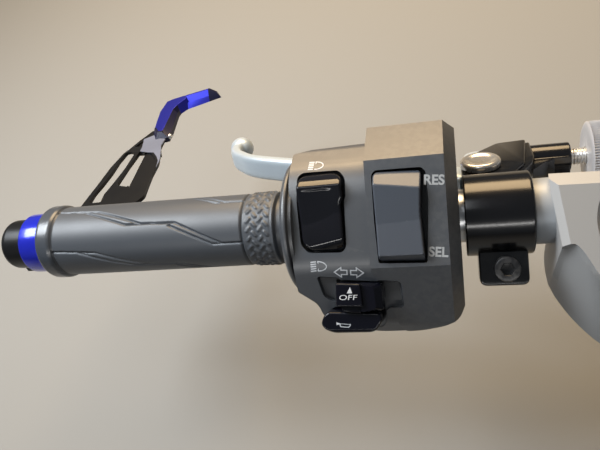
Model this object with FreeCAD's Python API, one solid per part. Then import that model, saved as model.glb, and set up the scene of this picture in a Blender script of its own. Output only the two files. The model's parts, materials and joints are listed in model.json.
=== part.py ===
import FreeCAD, Part
import math
import os

# Left clip-on handlebar assembly. Millimetres.
# +X runs along the bar towards the fork, +Y forward, +Z up.
# The origin is the centre of the fork clamp's bore.

# Driving dimensions
BAR_Y = 5.2                # bar axis, forward of the fork axis
BAR_Z = 9.8                # bar axis, above the clamp's middle
FACE_TILT = 35.0           # the switch face leans back by this much
LEVER_TILT = -27.5         # the lever swings in a plane that drops forward
GUARD_TILT = -11.5         # the guard's plate drops less

FORK_R = 20.5              # fork tube radius
FORK_DIR = (0.11, -0.42, 0.90)
CLAMP_R = 32.0
CLAMP_H = 38.0
NECK_R = 13.35
LUG_BOLT = (-38.5, -11.0)   # pinch bolt, behind the fork tube and below the middle

BAR_R = 11.1               # 22.2 mm bar
BAR_BORE_R = 8.2
BAR_IN_X = -28.2
FIT = 0.1                  # gap between fixed round pieces
PIN_GAP = 0.3              # gap between moving round pieces

CASE_X = (-141.7, -70.4)   # switch housing, ends along the bar
RIM_R = 29.0
FACE_V = 24.0              # height of the switch face over the bar axis
BLOCK_V = 27.0
FRONT_V = 13.5             # depth of the housing's far half

PERCH_X = (CASE_X[1] + 2.0, -42.2)
PERCH_R = 17.0
PIVOT = (-60.0, 26.0)      # lever pivot, along the bar and forward
CABLE_W = 48.0             # cable line, forward of the bar
CABLE_N = 2.5
LEVER_LOW = -4.0           # lower and upper edge of the blade
LEVER_HIGH = 9.5
EAR_GAP = 0.4              # between the lever's hub and each ear
EAR = 3.6                  # thickness of an ear
HUB = (-1.0, 7.0)          # lower and upper face of the hub
HUB_R = 8.0
BUSH_R = 5.2
PIN_R = 4.0
BOSS_R = 7.2
ADJUSTER_R = 4.0
SEAT_R = 2.8
BOLT_R = 3.0               # M6 bolts
SOCKET_R = 2.6
NUT_R = 7.4
WHEEL_R = CABLE_W - 32.4   # the wheel turns clear of the clamp
PINCH = (-53.5, -PERCH_R - 5.0)
PINCH_HEAD = 5.0

GRIP_X = (-269.6, -142.6)
GRIP_R = 16.8
FLANGE_R = 18.3
COLLAR_X = (-280.9, -269.8)
COLLAR_R = 15.0
ROOT_X = (-295.4, -281.1)
ROOT_R = 12.6
GUARD_H = (-15.5, -9.0)    # the guard's tip, lower and upper face
GUARD_WEB = -11.2          # lower face of the arm's plate

V3 = FreeCAD.Vector
os.makedirs("parts", exist_ok=True)


def tilted(angle):
    """Frame on the bar axis, turned about it."""
    turn = FreeCAD.Rotation(V3(1, 0, 0), angle)
    return FreeCAD.Placement(V3(0, BAR_Y, BAR_Z), turn)


FACE = tilted(FACE_TILT)
LEVER = tilted(LEVER_TILT)
GUARD = tilted(GUARD_TILT)


def fork_frame():
    """Frame with Z along the fork tube and X as near the bar as it can be."""
    z = V3(*FORK_DIR)
    z.normalize()
    x = V3(1, 0, 0) - z * z.x
    x.normalize()
    y = z.cross(x)
    return FreeCAD.Placement(V3(0, 0, 0), FreeCAD.Rotation(x, y, z, "ZXY"))


FORK = fork_frame()


def put(shape, frame):
    """Copy of the shape moved from its own frame into the row's."""
    moved = shape.copy()
    moved.Placement = frame.multiply(moved.Placement)
    return moved


def rod(x0, x1, r, a=0.0, b=0.0):
    """Round bar along X."""
    return Part.makeCylinder(r, x1 - x0, V3(x0, a, b), V3(1, 0, 0))


def post(z0, z1, r, a=0.0, b=0.0):
    """Round bar along the frame's third axis."""
    return Part.makeCylinder(r, z1 - z0, V3(a, b, z0), V3(0, 0, 1))


def box(lo, hi):
    """Block between two corners."""
    size = [h - g for g, h in zip(lo, hi)]
    return Part.makeBox(size[0], size[1], size[2], V3(*lo))


def prism(points, z0, z1):
    """Outline in the frame's first two axes, pulled along the third."""
    ring = [V3(a, b, z0) for a, b in points]
    face = Part.Face(Part.makePolygon(ring + ring[:1]))
    return face.extrude(V3(0, 0, z1 - z0))


def along_bar(points, x0, x1):
    """Section in the frame's last two axes, pulled along the bar."""
    ring = [V3(x0, a, b) for a, b in points]
    face = Part.Face(Part.makePolygon(ring + ring[:1]))
    return face.extrude(V3(x1 - x0, 0, 0))


def turned(points):
    """Profile of (x, radius) points turned about the bar axis."""
    ring = [V3(x, r, 0) for x, r in points]
    face = Part.Face(Part.makePolygon(ring + ring[:1]))
    return face.revolve(V3(0, 0, 0), V3(1, 0, 0), 360)


def joined(*pieces):
    """One solid from overlapping pieces."""
    return pieces[0].fuse(list(pieces[1:])).removeSplitter()


def blend(low, high, z0, z1):
    """Solid between two outlines with as many points each; its sides are flat triangles."""
    under = [V3(a, b, z0) for a, b in low]
    over = [V3(a, b, z1) for a, b in high]
    rings = [under, over]
    for i, p in enumerate(under):
        j = (i + 1) % len(under)
        rings += [[p, under[j], over[j]], [p, over[j], over[i]]]
    faces = [Part.Face(Part.makePolygon(ring + ring[:1])) for ring in rings]
    solid = Part.Solid(Part.Shell(faces))
    if solid.Volume < 0:
        solid.reverse()
    return solid.removeSplitter()


def ribbon(line):
    """Outline of a band from rows of (x, w, half width)."""
    left = []
    right = []
    for i, (x, w, half) in enumerate(line):
        a = line[max(i - 1, 0)]
        b = line[min(i + 1, len(line) - 1)]
        dx, dw = b[0] - a[0], b[1] - a[1]
        size = math.hypot(dx, dw)
        left.append((x - dw / size * half, w + dx / size * half))
        right.append((x + dw / size * half, w - dx / size * half))
    return left + right[::-1]


CLAMP_ARM = [(-38.6, 21.2), (-17.0, 21.2), (0.0, 21.2), (0.0, -19.0), (-24.4, -20.2),
             (-27.8, -14.2), (-30.9, -10.1), (-33.7, -8.2), (-36.0, -7.7)]
FRONT_LOW = [(-60, 21.2), (-17, 21.2), (-8, 26.3), (60, 26.3), (60, -70), (-60, -70)]
FRONT_HIGH = [(-60, 15.5), (-19, 15.5), (-9.5, 24.3), (60, 24.3), (60, -70), (-60, -70)]
FOOT_LOW = [(-29, 1), (-31.2, -4.8), (-33.6, -10.5), (-33.9, -17.1), (-29.4, -27.1),
            (-24.2, -36.4), (-15.2, -46.2), (-8, -49), (9, -49), (16, -45), (22, -36),
            (27, -20), (28, 1)]
FOOT_HIGH = [(-30, 1), (-33, -3.5), (-35, -7), (-31, -9.8), (-27.6, -13.9), (-24.1, -19.8),
             (-17, -26.2), (-8, -30.4), (8, -30.4), (15, -27.5), (20, -23.5), (25, -17), (29, 1)]


def fork_clamp():
    """Cast clamp: split ring, bevelled arm, bar neck and a flared foot with pinch lugs."""
    half = CLAMP_H / 2
    ring = post(-half, half, CLAMP_R)
    ring = ring.makeChamfer(1.5, [e for e in ring.Edges if e.Length > 100])
    arm = prism(CLAMP_ARM, -half + 2.5, half)
    top = [e for e in arm.Edges if e.BoundBox.ZMin > half - 0.1]
    arm = arm.makeChamfer(2.6, [e for e in top if e.BoundBox.XMax < -35])
    foot = blend(FOOT_LOW, FOOT_HIGH, -half, half - 3.0)
    front = prism(FRONT_LOW, -half, half - 4.5)
    front = front.fuse(blend(FRONT_LOW, FRONT_HIGH, half - 4.5, half + 0.01))
    body = joined(ring, arm, foot).common(front)
    neck = rod(PERCH_X[1] + 0.2, -34.5, NECK_R)
    body = joined(put(body, FORK), put(neck, tilted(0)))
    bore = post(-half - 1, half + 1, FORK_R)
    bore = bore.fuse(Part.makeCone(FORK_R, FORK_R + 4.2, 4.2, V3(0, 0, half - 3.2)))
    body = body.cut(put(bore, FORK))
    body = body.cut(put(box((-1.25, -60, -40), (1.25, -15, 40)), FORK))
    y, z = LUG_BOLT
    hole = Part.makeCylinder(3.1, 34, V3(-13, y, z), V3(1, 0, 0))
    seat = Part.makeCylinder(5.3, 20, V3(8, y, z), V3(1, 0, 0))
    body = body.cut(put(hole.fuse(seat), FORK))
    return body.cut(put(rod(-60, BAR_IN_X + 0.1, BAR_R + FIT), tilted(0)))


def fork_pinch_bolt():
    """Socket head bolt across the clamp's lugs."""
    y, z = LUG_BOLT
    shank = Part.makeCylinder(3.0, 20.2, V3(-12, y, z), V3(1, 0, 0))
    head = Part.makeCylinder(5.0, 6, V3(8.1, y, z), V3(1, 0, 0))
    socket = Part.makeCylinder(2.6, 4, V3(11, y, z), V3(1, 0, 0))
    return put(shank.fuse(head).cut(socket), FORK)


def handlebar_tube():
    """Plain tube from the clamp's socket to the grip's outer end."""
    tube = rod(GRIP_X[0], BAR_IN_X, BAR_R)
    return put(tube.cut(rod(-300, 0, BAR_BORE_R)), tilted(0))


def grip():
    """Rubber sleeve with a rounded outer flange and a plain cuff."""
    x0, x1 = GRIP_X
    bore = BAR_R + FIT
    profile = [(x0, bore), (x0, 15.6), (x0 + 1.0, 17.5), (x0 + 3.0, FLANGE_R),
               (x0 + 7.2, FLANGE_R), (x0 + 9.2, 17.6), (x0 + 10.2, 17.1),
               (x0 + 22, 17.1), (-163.4, 16.5), (-162.5, 16.0), (-161.6, 16.5),
               (-148.8, GRIP_R), (-147.7, 16.2), (-147.7, 14.2), (x1, 14.2), (x1, bore)]
    return put(turned(profile), tilted(0))


def bar_end_collar():
    """Anodised spacer between the grip and the guard's root."""
    x0, x1 = COLLAR_X
    profile = [(x0, 4.2), (x0, 14.2), (x0 + 0.8, COLLAR_R), (x1 - 0.8, COLLAR_R),
               (x1, 14.2), (x1, 4.2)]
    return put(turned(profile), tilted(0))


def bar_end_bolt():
    """Long bolt that holds the guard's root to the bar."""
    head = rod(ROOT_X[0] + 0.4, ROOT_X[0] + 6.4, 6.6)
    socket = rod(ROOT_X[0], ROOT_X[0] + 4.4, 3.0)
    shank = rod(ROOT_X[0] + 6.3, -246, 4.0)
    return put(head.fuse(shank).cut(socket), tilted(0))


def bar_end_plug():
    """Expanding plug inside the tube."""
    plug = rod(-268, -250, BAR_BORE_R - FIT)
    return put(plug.cut(rod(-270, -240, 4.1)), tilted(0))


GUARD_PLATE = [(-278.9, 35.0), (-277.7, 45.6), (-276.2, 55.9), (-274.3, 72.9), (-272.1, 81.4),
               (-269.4, 93.1), (-266.0, 95.0), (-249.0, 90.0), (-244.2, 82.0), (-241.8, 72.1),
               (-242.0, 61.1), (-241.1, 51.6), (-240.0, 42.3), (-246.0, 34.0), (-268.0, 25.5)]
GUARD_SLOT = [(-269.0, 87.6), (-270.8, 78.5), (-271.3, 67.6), (-272.5, 58.9), (-274.6, 48.0),
              (-274.6, 40.0), (-266.8, 40.0), (-267.6, 47.0), (-265.5, 57.0), (-263.4, 70.2),
              (-262.7, 84.0), (-265.6, 87.6)]
GUARD_WINDOW = [(-259.6, 87.0), (-261.6, 71.3), (-262.7, 54.5), (-254.2, 52.0), (-255.4, 84.9)]
GUARD_POCKET = [(-255.5, 84.9), (-251.0, 84.4), (-245.2, 76.6), (-244.6, 64.8), (-245.8, 52.2),
                (-254.3, 52.0)]
GUARD_LAP = [(-269.6, 92.6), (-268.0, 102.3), (-261.0, 113.6), (-260.3, 110.0), (-255.7, 101.5),
             (-249.2, 101.5), (-249.1, 93.0), (-245.5, 84.6), (-252.0, 86.0), (-259.5, 88.6),
             (-266.5, 89.2)]
GUARD_NOTCH = [(-267.4, 93.2), (-265.6, 101.0), (-262.2, 103.0), (-260.6, 97.0), (-263.6, 92.6)]
TIP_LOW = [(-259.9, 110.4), (-260.1, 118.6), (-261.9, 131.2), (-260.8, 144.2), (-256.5, 147.0),
           (-231.6, 155.2), (-225.6, 153.4), (-223.9, 151.3), (-231.6, 147.6), (-242.9, 142.7),
           (-249.7, 135.9), (-250.3, 132.4), (-247.4, 109.0), (-247.4, 101.9), (-255.4, 101.8)]
TIP_HIGH = [(-259.3, 109.6), (-259.4, 118.6), (-261.2, 131.2), (-260.2, 143.6), (-256.2, 146.2),
            (-232.0, 154.2), (-231.5, 153.6), (-231.2, 152.0), (-232.4, 149.4), (-243.6, 144.4),
            (-251.8, 137.6), (-253.8, 132.8), (-251.0, 109.5), (-251.0, 104.0), (-254.8, 103.8)]


def guard_arm():
    """Root ring, a thin truss plate with two windows and a lap with a tongue for the tip."""
    x0, x1 = ROOT_X
    low, high = GUARD_H
    ring = put(turned([(x0, 4.2), (x0, 10.2), (x0 + 2.4, ROOT_R), (x1, ROOT_R),
                       (x1, 4.2)]), tilted(0))
    ring = ring.cut(put(rod(x0 - 1, x0 + 6.45, 6.8), tilted(0)))
    root = prism([(x0 + 0.6, -5), (x0 + 0.4, 8), (-278.9, 35.0), (-268, 25.5), (x1, 21), (x1, -5)],
                 low, high)
    plate = prism(GUARD_PLATE, GUARD_WEB, high)
    plate = plate.cut(prism(GUARD_SLOT, low, high + 1))
    plate = plate.cut(prism(GUARD_POCKET, high - 1.1, high + 1))
    lap = prism(GUARD_LAP, low + 1.6, high)
    lap = lap.cut(along_bar([(86, high), (102, -12), (125, -12), (125, -5), (86, -5)], -290, -230))
    lap = lap.cut(prism(GUARD_NOTCH, -12.4, high + 1))
    tongue = box((-258, 95, low + 0.1), (-253, 119.5, -12.3))
    plate = joined(root, plate, lap, tongue).cut(prism(GUARD_WINDOW, low, high + 1))
    body = joined(ring, put(plate, GUARD))
    return body.cut(put(rod(-300, -240, 4.2), tilted(0)))


def guard_tip():
    """Anodised hook with bevelled edges; the arm's tongue sits in its underside."""
    low, high = GUARD_H
    hook = prism(TIP_LOW, low, -12.2).fuse(blend(TIP_LOW, TIP_HIGH, -12.2, high)).removeSplitter()
    return put(hook.cut(box((-258.2, 90, low - 1), (-252.8, 119.7, -12.2))), GUARD)


def guard_tip_screws():
    """Two short screws, one in each side of the tip."""
    h = -12.9
    near = rod(-247.35, -246.0, 1.9, 105.6, h)
    far = rod(-261.6, -260.15, 1.9, 116.7, h)
    return put(Part.makeCompound([near, far]), GUARD)


CASE_OUTLINE = [(-137.5, -31.0), (-137.5, 31.0), (-130, 32.4), (-104, 33.3), (CASE_X[1], 33.3),
                (CASE_X[1], -36.0), (-72.5, -41.0), (-78.4, -44.3), (-88, -46.5), (-104, -47.0),
                (-116, -45.5), (-126, -41.5), (-130.5, -36.4), (-135.2, -33.5)]
OUTLET = (-92.0, -12.0)     # wiring outlet on the far half
BLOCK_OUTLINE = [(-105.0, 39.2), (-74.8, 39.2), (CASE_X[1], 36.4), (CASE_X[1], -36.0),
                 (-72.5, -41.0), (-78.4, -44.3), (-88, -46.5), (-96, -47.0), (-100, -30.0),
                 (-105.0, -20.0)]
DIMMER = (-133.4, -10.8, -114.5, 21.8)
MENU = (-102.3, -16.0, -84.2, 19.0)
TURN_SLOT = [(-127.0, -20.5), (-95.0, -24.5), (-94.6, -33.0), (-120.5, -31.2), (-126.0, -28.7)]
HORN = (-114.3, -39.6, 12.6, 4.6)


def oval(cx, cy, a, b):
    """Outline of a long rounded button."""
    points = []
    for i in range(16):
        t = 2 * math.pi * (i + 0.5) / 16
        cos, sin = math.cos(t), math.sin(t)
        points.append((cx + a * math.copysign(abs(cos) ** 0.6, cos),
                       cy + b * math.copysign(abs(sin) ** 0.7, sin)))
    return points


def switch_case_rear():
    """Rider's half: round rim, sloping body and the raised block."""
    rim = rod(CASE_X[0], -136.5, RIM_R).common(box((-150, -40, 0.05), (-60, 40, 40)))
    section = [(-48, 0.05), (-48, 4), (-41, FACE_V - 12), (-16, FACE_V), (14, FACE_V),
               (20.5, FACE_V - 1.6), (26, FACE_V - 5), (30, FACE_V - 10.5), (32.6, FACE_V - 17),
               (33.3, FACE_V - 21), (33.3, 0.05)]
    body = prism(CASE_OUTLINE, 0.05, 40).common(along_bar(section, -138, -69))
    section = [(-48, 0.05), (-48, 5), (-42, BLOCK_V - 14), (-18, BLOCK_V), (24.0, BLOCK_V),
               (39.2, BLOCK_V - 15.5), (39.2, 0.05)]
    block = prism(BLOCK_OUTLINE, 0.05, 40).common(along_bar(section, -138, -69))
    case = joined(rim, body, block)
    case = case.cut(rod(-150, -60, BAR_R + FIT))
    x0, u0, x1, u1 = DIMMER
    case = case.cut(box((x0, u0, 14.5), (x1, u1, 40)))
    x0, u0, x1, u1 = MENU
    case = case.cut(box((x0, u0, 15.0), (x1, u1, 40)))
    case = case.cut(prism(TURN_SLOT, 13.0, 40))
    cx, cy, a, b = HORN
    case = case.cut(prism(oval(cx, cy, a + 0.4, b + 0.4), 7.6, 40))
    return put(case, FACE)


def switch_case_front():
    """Far half: shallow, so that the lever passes in front of it."""
    below = box((-150, -60, -40), (-60, 60, -0.05))
    rim = rod(CASE_X[0], -136.5, RIM_R).common(below)
    section = [(-48, 0), (-46, -5), (-37, -10), (-20, -FRONT_V), (24, -FRONT_V), (31.4, -8),
               (33.3, -3), (33.3, 0)]
    rim = rim.common(along_bar([(-40, 0), (-28, -7), (-20, -FRONT_V), (24, -FRONT_V), (28.5, -9),
                                (40, 0)], -150, -60))
    body = prism(CASE_OUTLINE, -40, 0).common(along_bar(section, -138, -69))
    block = prism([(-105.0, 0), (-105.0, 39.2), (-74.8, 39.2), (CASE_X[1], 36.4),
                   (CASE_X[1], 0)], -10, 0)
    block = block.common(along_bar([(0, 0), (0, -9), (30, -9), (39.2, -3), (39.2, 0)], -138, -69))
    case = joined(rim, body, block).common(below)
    case = case.cut(rod(-150, -60, BAR_R + FIT))
    for x, u in ((-128.0, -22.0), (-79.0, -24.0)):
        case = case.cut(post(-20, -7.9, 3.4, x, u)).cut(post(-20, 0, 2.0, x, u))
    return put(case, FACE)


def switch_case_screws():
    """Two screws that join the halves."""
    out = [post(-12.4, -8.0, 3.2, x, u) for x, u in ((-128.0, -22.0), (-79.0, -24.0))]
    return put(Part.makeCompound(out), FACE)


def rocker(box_xu, gap, low, section):
    """Rocker in its pocket; the section gives its two facets."""
    x0, u0, x1, u1 = box_xu
    points = [(u0 + gap, low), (u1 - gap, low)] + section
    return put(along_bar(points, x0 + gap, x1 - gap), FACE)


def turn_switch():
    """Slide knob: a stem in the slot and a lip over the horn button."""
    stem = prism([(-119.3, -23.6), (-102.1, -24.9), (-101.8, -31.6), (-118.9, -30.6)], 13.2, 28)
    plate = prism([(-119.3, -23.4), (-102.1, -24.7), (-101.2, -35.9), (-109.9, -36.4),
                   (-112.0, -32.6), (-119.5, -32.4)], 25.4, 28.4)
    return put(joined(stem, plate), FACE)


def horn_button():
    """Long oval button under the slide."""
    cx, cy, a, b = HORN
    return put(prism(oval(cx, cy, a, b), 7.8, 24.2), FACE)


def passing_trigger():
    """Small paddle on the far side, for the index finger."""
    paddle = prism([(-136, 25.6), (-116, 25.6), (-112, 32.2), (-136, 31.2)], -15.2, -8.2)
    seat = [(0, 5), (0, -13.7), (24.1, -13.7), (31.6, -8.1), (33.5, -3), (33.5, 5)]
    return put(paddle.cut(along_bar(seat, -150, -60)), FACE)


def harness_grommet():
    """Rubber outlet for the wiring."""
    tube = Part.makeCylinder(5.5, 12, V3(*OUTLET, -8), V3(0, 0, -1))
    bore = Part.makeCylinder(3.2, 14, V3(*OUTLET, -7), V3(0, 0, -1))
    seat = Part.makeBox(20, 20, 20, V3(OUTLET[0] - 10, OUTLET[1] - 10, -FRONT_V - 0.02))
    return put(tube.cut(bore).cut(seat), FACE)


def lever_perch():
    """Clamp band, two ears for the lever and the boss for the cable adjuster."""
    x0, x1 = PERCH_X
    band = put(turned([(x0, 5), (x0, PERCH_R - 0.8), (x0 + 0.8, PERCH_R), (x1 - 1.2, PERCH_R),
                       (x1, PERCH_R - 1.2), (x1, 5)]), tilted(0))
    low = HUB[0] - EAR_GAP
    high = HUB[1] + EAR_GAP
    tip = CABLE_W + 6.0
    ear = [(x0, 8), (x0, 35.5), (-51.2, tip - 1.5), (-37.9, tip), (-41.4, 26), (-45.6, 19.1),
           (-45.6, 8)]
    upper = prism(ear, high, high + EAR)
    lower = prism(ear, low - EAR, low)
    web = box((x0, 6, low - EAR), (-45.6, PIVOT[1] - HUB_R - 0.6, high + EAR))
    arm = prism([(-47.0, 6), (-47.0, 24), (-44.0, 30), (-44.0, tip), (-31.0, tip), (-31.0, 42.0),
                 (-36.8, 28.4), (-43.4, 18.6), (-43.4, 6)], low - EAR, high + EAR - 0.8)
    boss = rod(-38.0, -19.4, BOSS_R, CABLE_W, CABLE_N)
    head = put(joined(upper, lower, web, arm, boss), LEVER)
    lug = put(box((PINCH[0] - 10.5, PINCH[1] - 7, -9), (PINCH[0] + 8.5, -8, 7)), FACE)
    body = joined(band, head, lug)
    body = body.cut(put(rod(-90, -20, BAR_R + FIT), tilted(0)))
    body = body.cut(put(box((-90, PINCH[1] - 20, -0.8), (-20, -5, 0.8)), FACE))
    body = body.cut(put(post(-20, 20, BOLT_R + FIT, *PINCH), FACE))
    body = body.cut(put(post(-20, 20, PIN_R + FIT, *PIVOT), LEVER))
    return body.cut(put(rod(-60, -10, ADJUSTER_R + FIT, CABLE_W, CABLE_N), LEVER))


def perch_pinch_bolt():
    """Bolt across the band's lug."""
    head = post(7.1, 12.6, PINCH_HEAD, *PINCH)
    socket = post(9.4, 13, SOCKET_R, *PINCH)
    return put(head.cut(socket).fuse(post(-9, 7.2, BOLT_R, *PINCH)), FACE)


def clutch_switch():
    """Small sealed switch under the ears."""
    x0 = PIVOT[0] + NUT_R + 0.8
    top = HUB[0] - EAR_GAP - EAR - 0.1
    case = box((x0, 18.5, top - 9.4), (x0 + 10.6, 33.0, top))
    return put(case.makeFillet(2, [e for e in case.Edges if e.BoundBox.ZLength > 5]), LEVER)


def cable_adjuster():
    """Hollow screw that the outer cable seats in."""
    screw = rod(-36.0, -3.5, ADJUSTER_R, CABLE_W, CABLE_N)
    screw = screw.cut(rod(-40, 0, 1.5, CABLE_W, CABLE_N))
    return put(screw.cut(rod(-14.5, 0, SEAT_R, CABLE_W, CABLE_N)), LEVER)


def adjuster_wheel():
    """Large lock wheel on the adjuster."""
    wheel = rod(-12.6, -4.6, WHEEL_R, CABLE_W, CABLE_N)
    wheel = wheel.makeChamfer(0.8, [e for e in wheel.Edges if e.Length > 5 * WHEEL_R])
    return put(wheel.cut(rod(-20, 0, ADJUSTER_R + FIT, CABLE_W, CABLE_N)), LEVER)


def pivot_bolt():
    """Low dished head and a plain shank through both ears."""
    x, w = PIVOT
    seat = HUB[1] + EAR_GAP + EAR + 0.02
    head = post(seat, seat + 3.6, 8.8, x, w)
    head = head.makeChamfer(0.8, [e for e in head.Edges if e.BoundBox.ZMin > seat + 3.5
                                  and e.Length > 40])
    dish = Part.makeCone(5.2, 6.2, 0.9, V3(x, w, seat + 2.71), V3(0, 0, 1))
    return put(head.cut(dish).fuse(post(HUB[0] - 11, seat + 0.1, PIN_R, x, w)), LEVER)


def pivot_nut():
    """Hexagon nut under the lower ear."""
    x, w = PIVOT
    turns = [math.radians(60 * i) for i in range(6)]
    hexagon = [(x + NUT_R * math.cos(t), w + NUT_R * math.sin(t)) for t in turns]
    top = HUB[0] - EAR_GAP - EAR - 0.02
    return put(prism(hexagon, top - 5.4, top).cut(post(-20, 0, PIN_R + FIT, x, w)), LEVER)


BLADE = [(-66.0, 30.5, 6.4), (-76.0, 36.5, 5.2), (-88.0, 42.5, 4.4), (-102.0, 47.5, 3.9),
         (-125.0, 53.5, 3.6), (-151.0, 59.9, 3.4), (-167.5, 66.3, 3.3), (-175.0, 69.3, 3.3),
         (-186.0, 76.1, 3.3), (-192.0, 81.8, 3.3), (-198.0, 89.2, 3.3), (-200.8, 97.5, 3.3),
         (-200.6, 103.0, 3.3)]


def clutch_lever():
    """Cast lever: hub, cable arm, curved blade and ball end."""
    x, w = PIVOT
    low, high = HUB
    hub = post(low, high, HUB_R, x, w)
    arm = prism([(x - 7.6, w), (x - 6.6, CABLE_W), (x + 6.6, CABLE_W), (x + 7.2, w)], low, high)
    end = post(low, high, 6.6, x, CABLE_W)
    root = prism(ribbon(BLADE[:4]), low, high)
    blade = prism(ribbon(BLADE), LEVER_LOW, LEVER_HIGH)
    blade = blade.cut(box((-77.5, 0, -20), (-40, 90, 20)))
    ball = Part.makeSphere(7.2, V3(-200.5, 106.5, 3.0))
    body = joined(hub, arm, end, root, blade, ball)
    body = body.cut(post(-20, 20, BUSH_R + FIT, x, w))
    body = body.cut(post(-20, 20, 3.4, x, CABLE_W))
    return put(body.cut(box((x, CABLE_W - 1.3, -20), (x + 20, CABLE_W + 1.3, 20))), LEVER)


def lever_bush():
    """Bronze bush in the lever's hub."""
    x, w = PIVOT
    return put(post(*HUB, BUSH_R, x, w).cut(post(-5, 10, PIN_R + PIN_GAP, x, w)), LEVER)


PARTS = {
    "fork_clamp": fork_clamp(),
    "fork_pinch_bolt": fork_pinch_bolt(),
    "handlebar_tube": handlebar_tube(),
    "grip": grip(),
    "bar_end_collar": bar_end_collar(),
    "bar_end_bolt": bar_end_bolt(),
    "bar_end_plug": bar_end_plug(),
    "guard_arm": guard_arm(),
    "guard_tip": guard_tip(),
    "guard_tip_screws": guard_tip_screws(),
    "switch_case_rear": switch_case_rear(),
    "switch_case_front": switch_case_front(),
    "switch_case_screws": switch_case_screws(),
    "dimmer_rocker": rocker(DIMMER, 0.4, 14.7, [(21.1, 23.0), (17.5, 28.0), (3.0, 25.4),
                                                (-8.0, 26.4), (-9.6, 24.0)]),
    "menu_rocker": rocker(MENU, 0.4, 15.2, [(18.6, 28.5), (15.5, 31.5), (2.0, 29.6),
                                            (-13.5, 30.8), (-15.6, 28.5)]),
    "turn_switch": turn_switch(),
    "horn_button": horn_button(),
    "passing_trigger": passing_trigger(),
    "harness_grommet": harness_grommet(),
    "lever_perch": lever_perch(),
    "perch_pinch_bolt": perch_pinch_bolt(),
    "clutch_switch": clutch_switch(),
    "cable_adjuster": cable_adjuster(),
    "adjuster_wheel": adjuster_wheel(),
    "pivot_bolt": pivot_bolt(),
    "pivot_nut": pivot_nut(),
    "clutch_lever": clutch_lever(),
    "lever_bush": lever_bush(),
}

for name, shape in PARTS.items():
    shape.exportStep("parts/" + name + ".step")
    b = shape.BoundBox
    print("%-20s solids %d valid %s  x %.1f..%.1f  y %.1f..%.1f  z %.1f..%.1f  %.0f mm3" % (
        name, len(shape.Solids), shape.isValid(), b.XMin, b.XMax, b.YMin, b.YMax, b.ZMin, b.ZMax,
        shape.Volume))
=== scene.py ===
import json
import math

import bmesh
import bpy
import numpy as np
from mathutils import Matrix, Vector
from mathutils.geometry import tessellate_polygon


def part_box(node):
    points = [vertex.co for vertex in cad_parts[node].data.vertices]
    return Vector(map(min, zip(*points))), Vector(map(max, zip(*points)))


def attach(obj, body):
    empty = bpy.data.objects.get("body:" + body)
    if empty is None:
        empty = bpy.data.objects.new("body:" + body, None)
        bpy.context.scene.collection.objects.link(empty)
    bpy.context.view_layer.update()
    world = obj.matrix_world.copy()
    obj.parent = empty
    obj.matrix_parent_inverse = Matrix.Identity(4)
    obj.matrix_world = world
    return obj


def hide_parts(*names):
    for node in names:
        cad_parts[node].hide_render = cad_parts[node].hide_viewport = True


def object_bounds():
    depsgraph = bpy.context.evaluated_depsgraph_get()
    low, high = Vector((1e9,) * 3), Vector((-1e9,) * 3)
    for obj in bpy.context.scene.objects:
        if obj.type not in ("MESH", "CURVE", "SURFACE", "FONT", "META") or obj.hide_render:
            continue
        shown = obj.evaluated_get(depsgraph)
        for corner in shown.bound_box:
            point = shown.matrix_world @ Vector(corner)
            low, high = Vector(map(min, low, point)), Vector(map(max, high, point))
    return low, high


# Left clip-on handlebar assembly. Shapes are worked out in millimetres in a few
# turned frames and placed in the part's frame, in metres.
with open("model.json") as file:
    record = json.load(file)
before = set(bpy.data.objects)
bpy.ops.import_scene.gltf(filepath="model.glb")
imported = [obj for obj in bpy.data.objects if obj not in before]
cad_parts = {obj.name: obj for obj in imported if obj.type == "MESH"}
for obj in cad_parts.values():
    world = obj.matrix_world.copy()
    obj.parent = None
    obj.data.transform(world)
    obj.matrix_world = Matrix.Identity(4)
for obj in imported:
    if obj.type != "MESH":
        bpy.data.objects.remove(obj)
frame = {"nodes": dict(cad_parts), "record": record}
cad_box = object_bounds()

MM = 0.001
FIXED = "bar_assembly"
MOVING = "clutch_lever_body"


def node_box(name):
    """Lowest and highest corner of a CAD node, in millimetres."""
    low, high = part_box(name)
    return np.array(low) / MM, np.array(high) / MM


# Places read from the frame, and the tilts in degrees of what is clamped on the bar
tube_low, tube_high = node_box("handlebar_tube")
BAR = np.array([0.0, (tube_low[1] + tube_high[1]) / 2, (tube_low[2] + tube_high[2]) / 2])
BAR_R = (tube_high[1] - tube_low[1]) / 2
FACE_TILT = 35.0
LEVER_TILT = -27.5
GUARD_TILT = -11.5


def about_bar(degrees):
    """Frame on the bar axis, turned about it: its axes as columns, and its origin."""
    c, s = math.cos(math.radians(degrees)), math.sin(math.radians(degrees))
    return np.array([[1.0, 0, 0], [0, c, -s], [0, s, c]]), BAR


def along_fork():
    """Frame with its third axis along the fork clamp's bore."""
    z = np.array(frame["record"]["mounts"][0]["axis"], float)
    z /= np.linalg.norm(z)
    x = np.array([1.0, 0, 0]) - z[0] * z
    x /= np.linalg.norm(x)
    return np.stack([x, np.cross(z, x), z], 1), np.zeros(3)


STRAIGHT = about_bar(0.0)
FACE = about_bar(FACE_TILT)
LEVER = about_bar(LEVER_TILT)
GUARD = about_bar(GUARD_TILT)
FORK = along_fork()


# Shells: each is a pair of points and faces

def grid(rows, closed=True, caps=(False, False)):
    """Surface through rows of points; each row may be closed, and caps fill the end rows."""
    count, n = rows.shape[:2]
    i = np.arange(count - 1)[:, None] * n
    j = np.arange(n if closed else n - 1)[None, :]
    k = (j + 1) % n
    faces = np.stack([i + j, i + k, i + n + k, i + n + j], -1).reshape(-1, 4).tolist()
    if caps[0]:
        faces.append(list(range(n))[::-1])
    if caps[1]:
        faces.append(list(range((count - 1) * n, count * n)))
    return rows.reshape(-1, 3), faces


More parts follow.
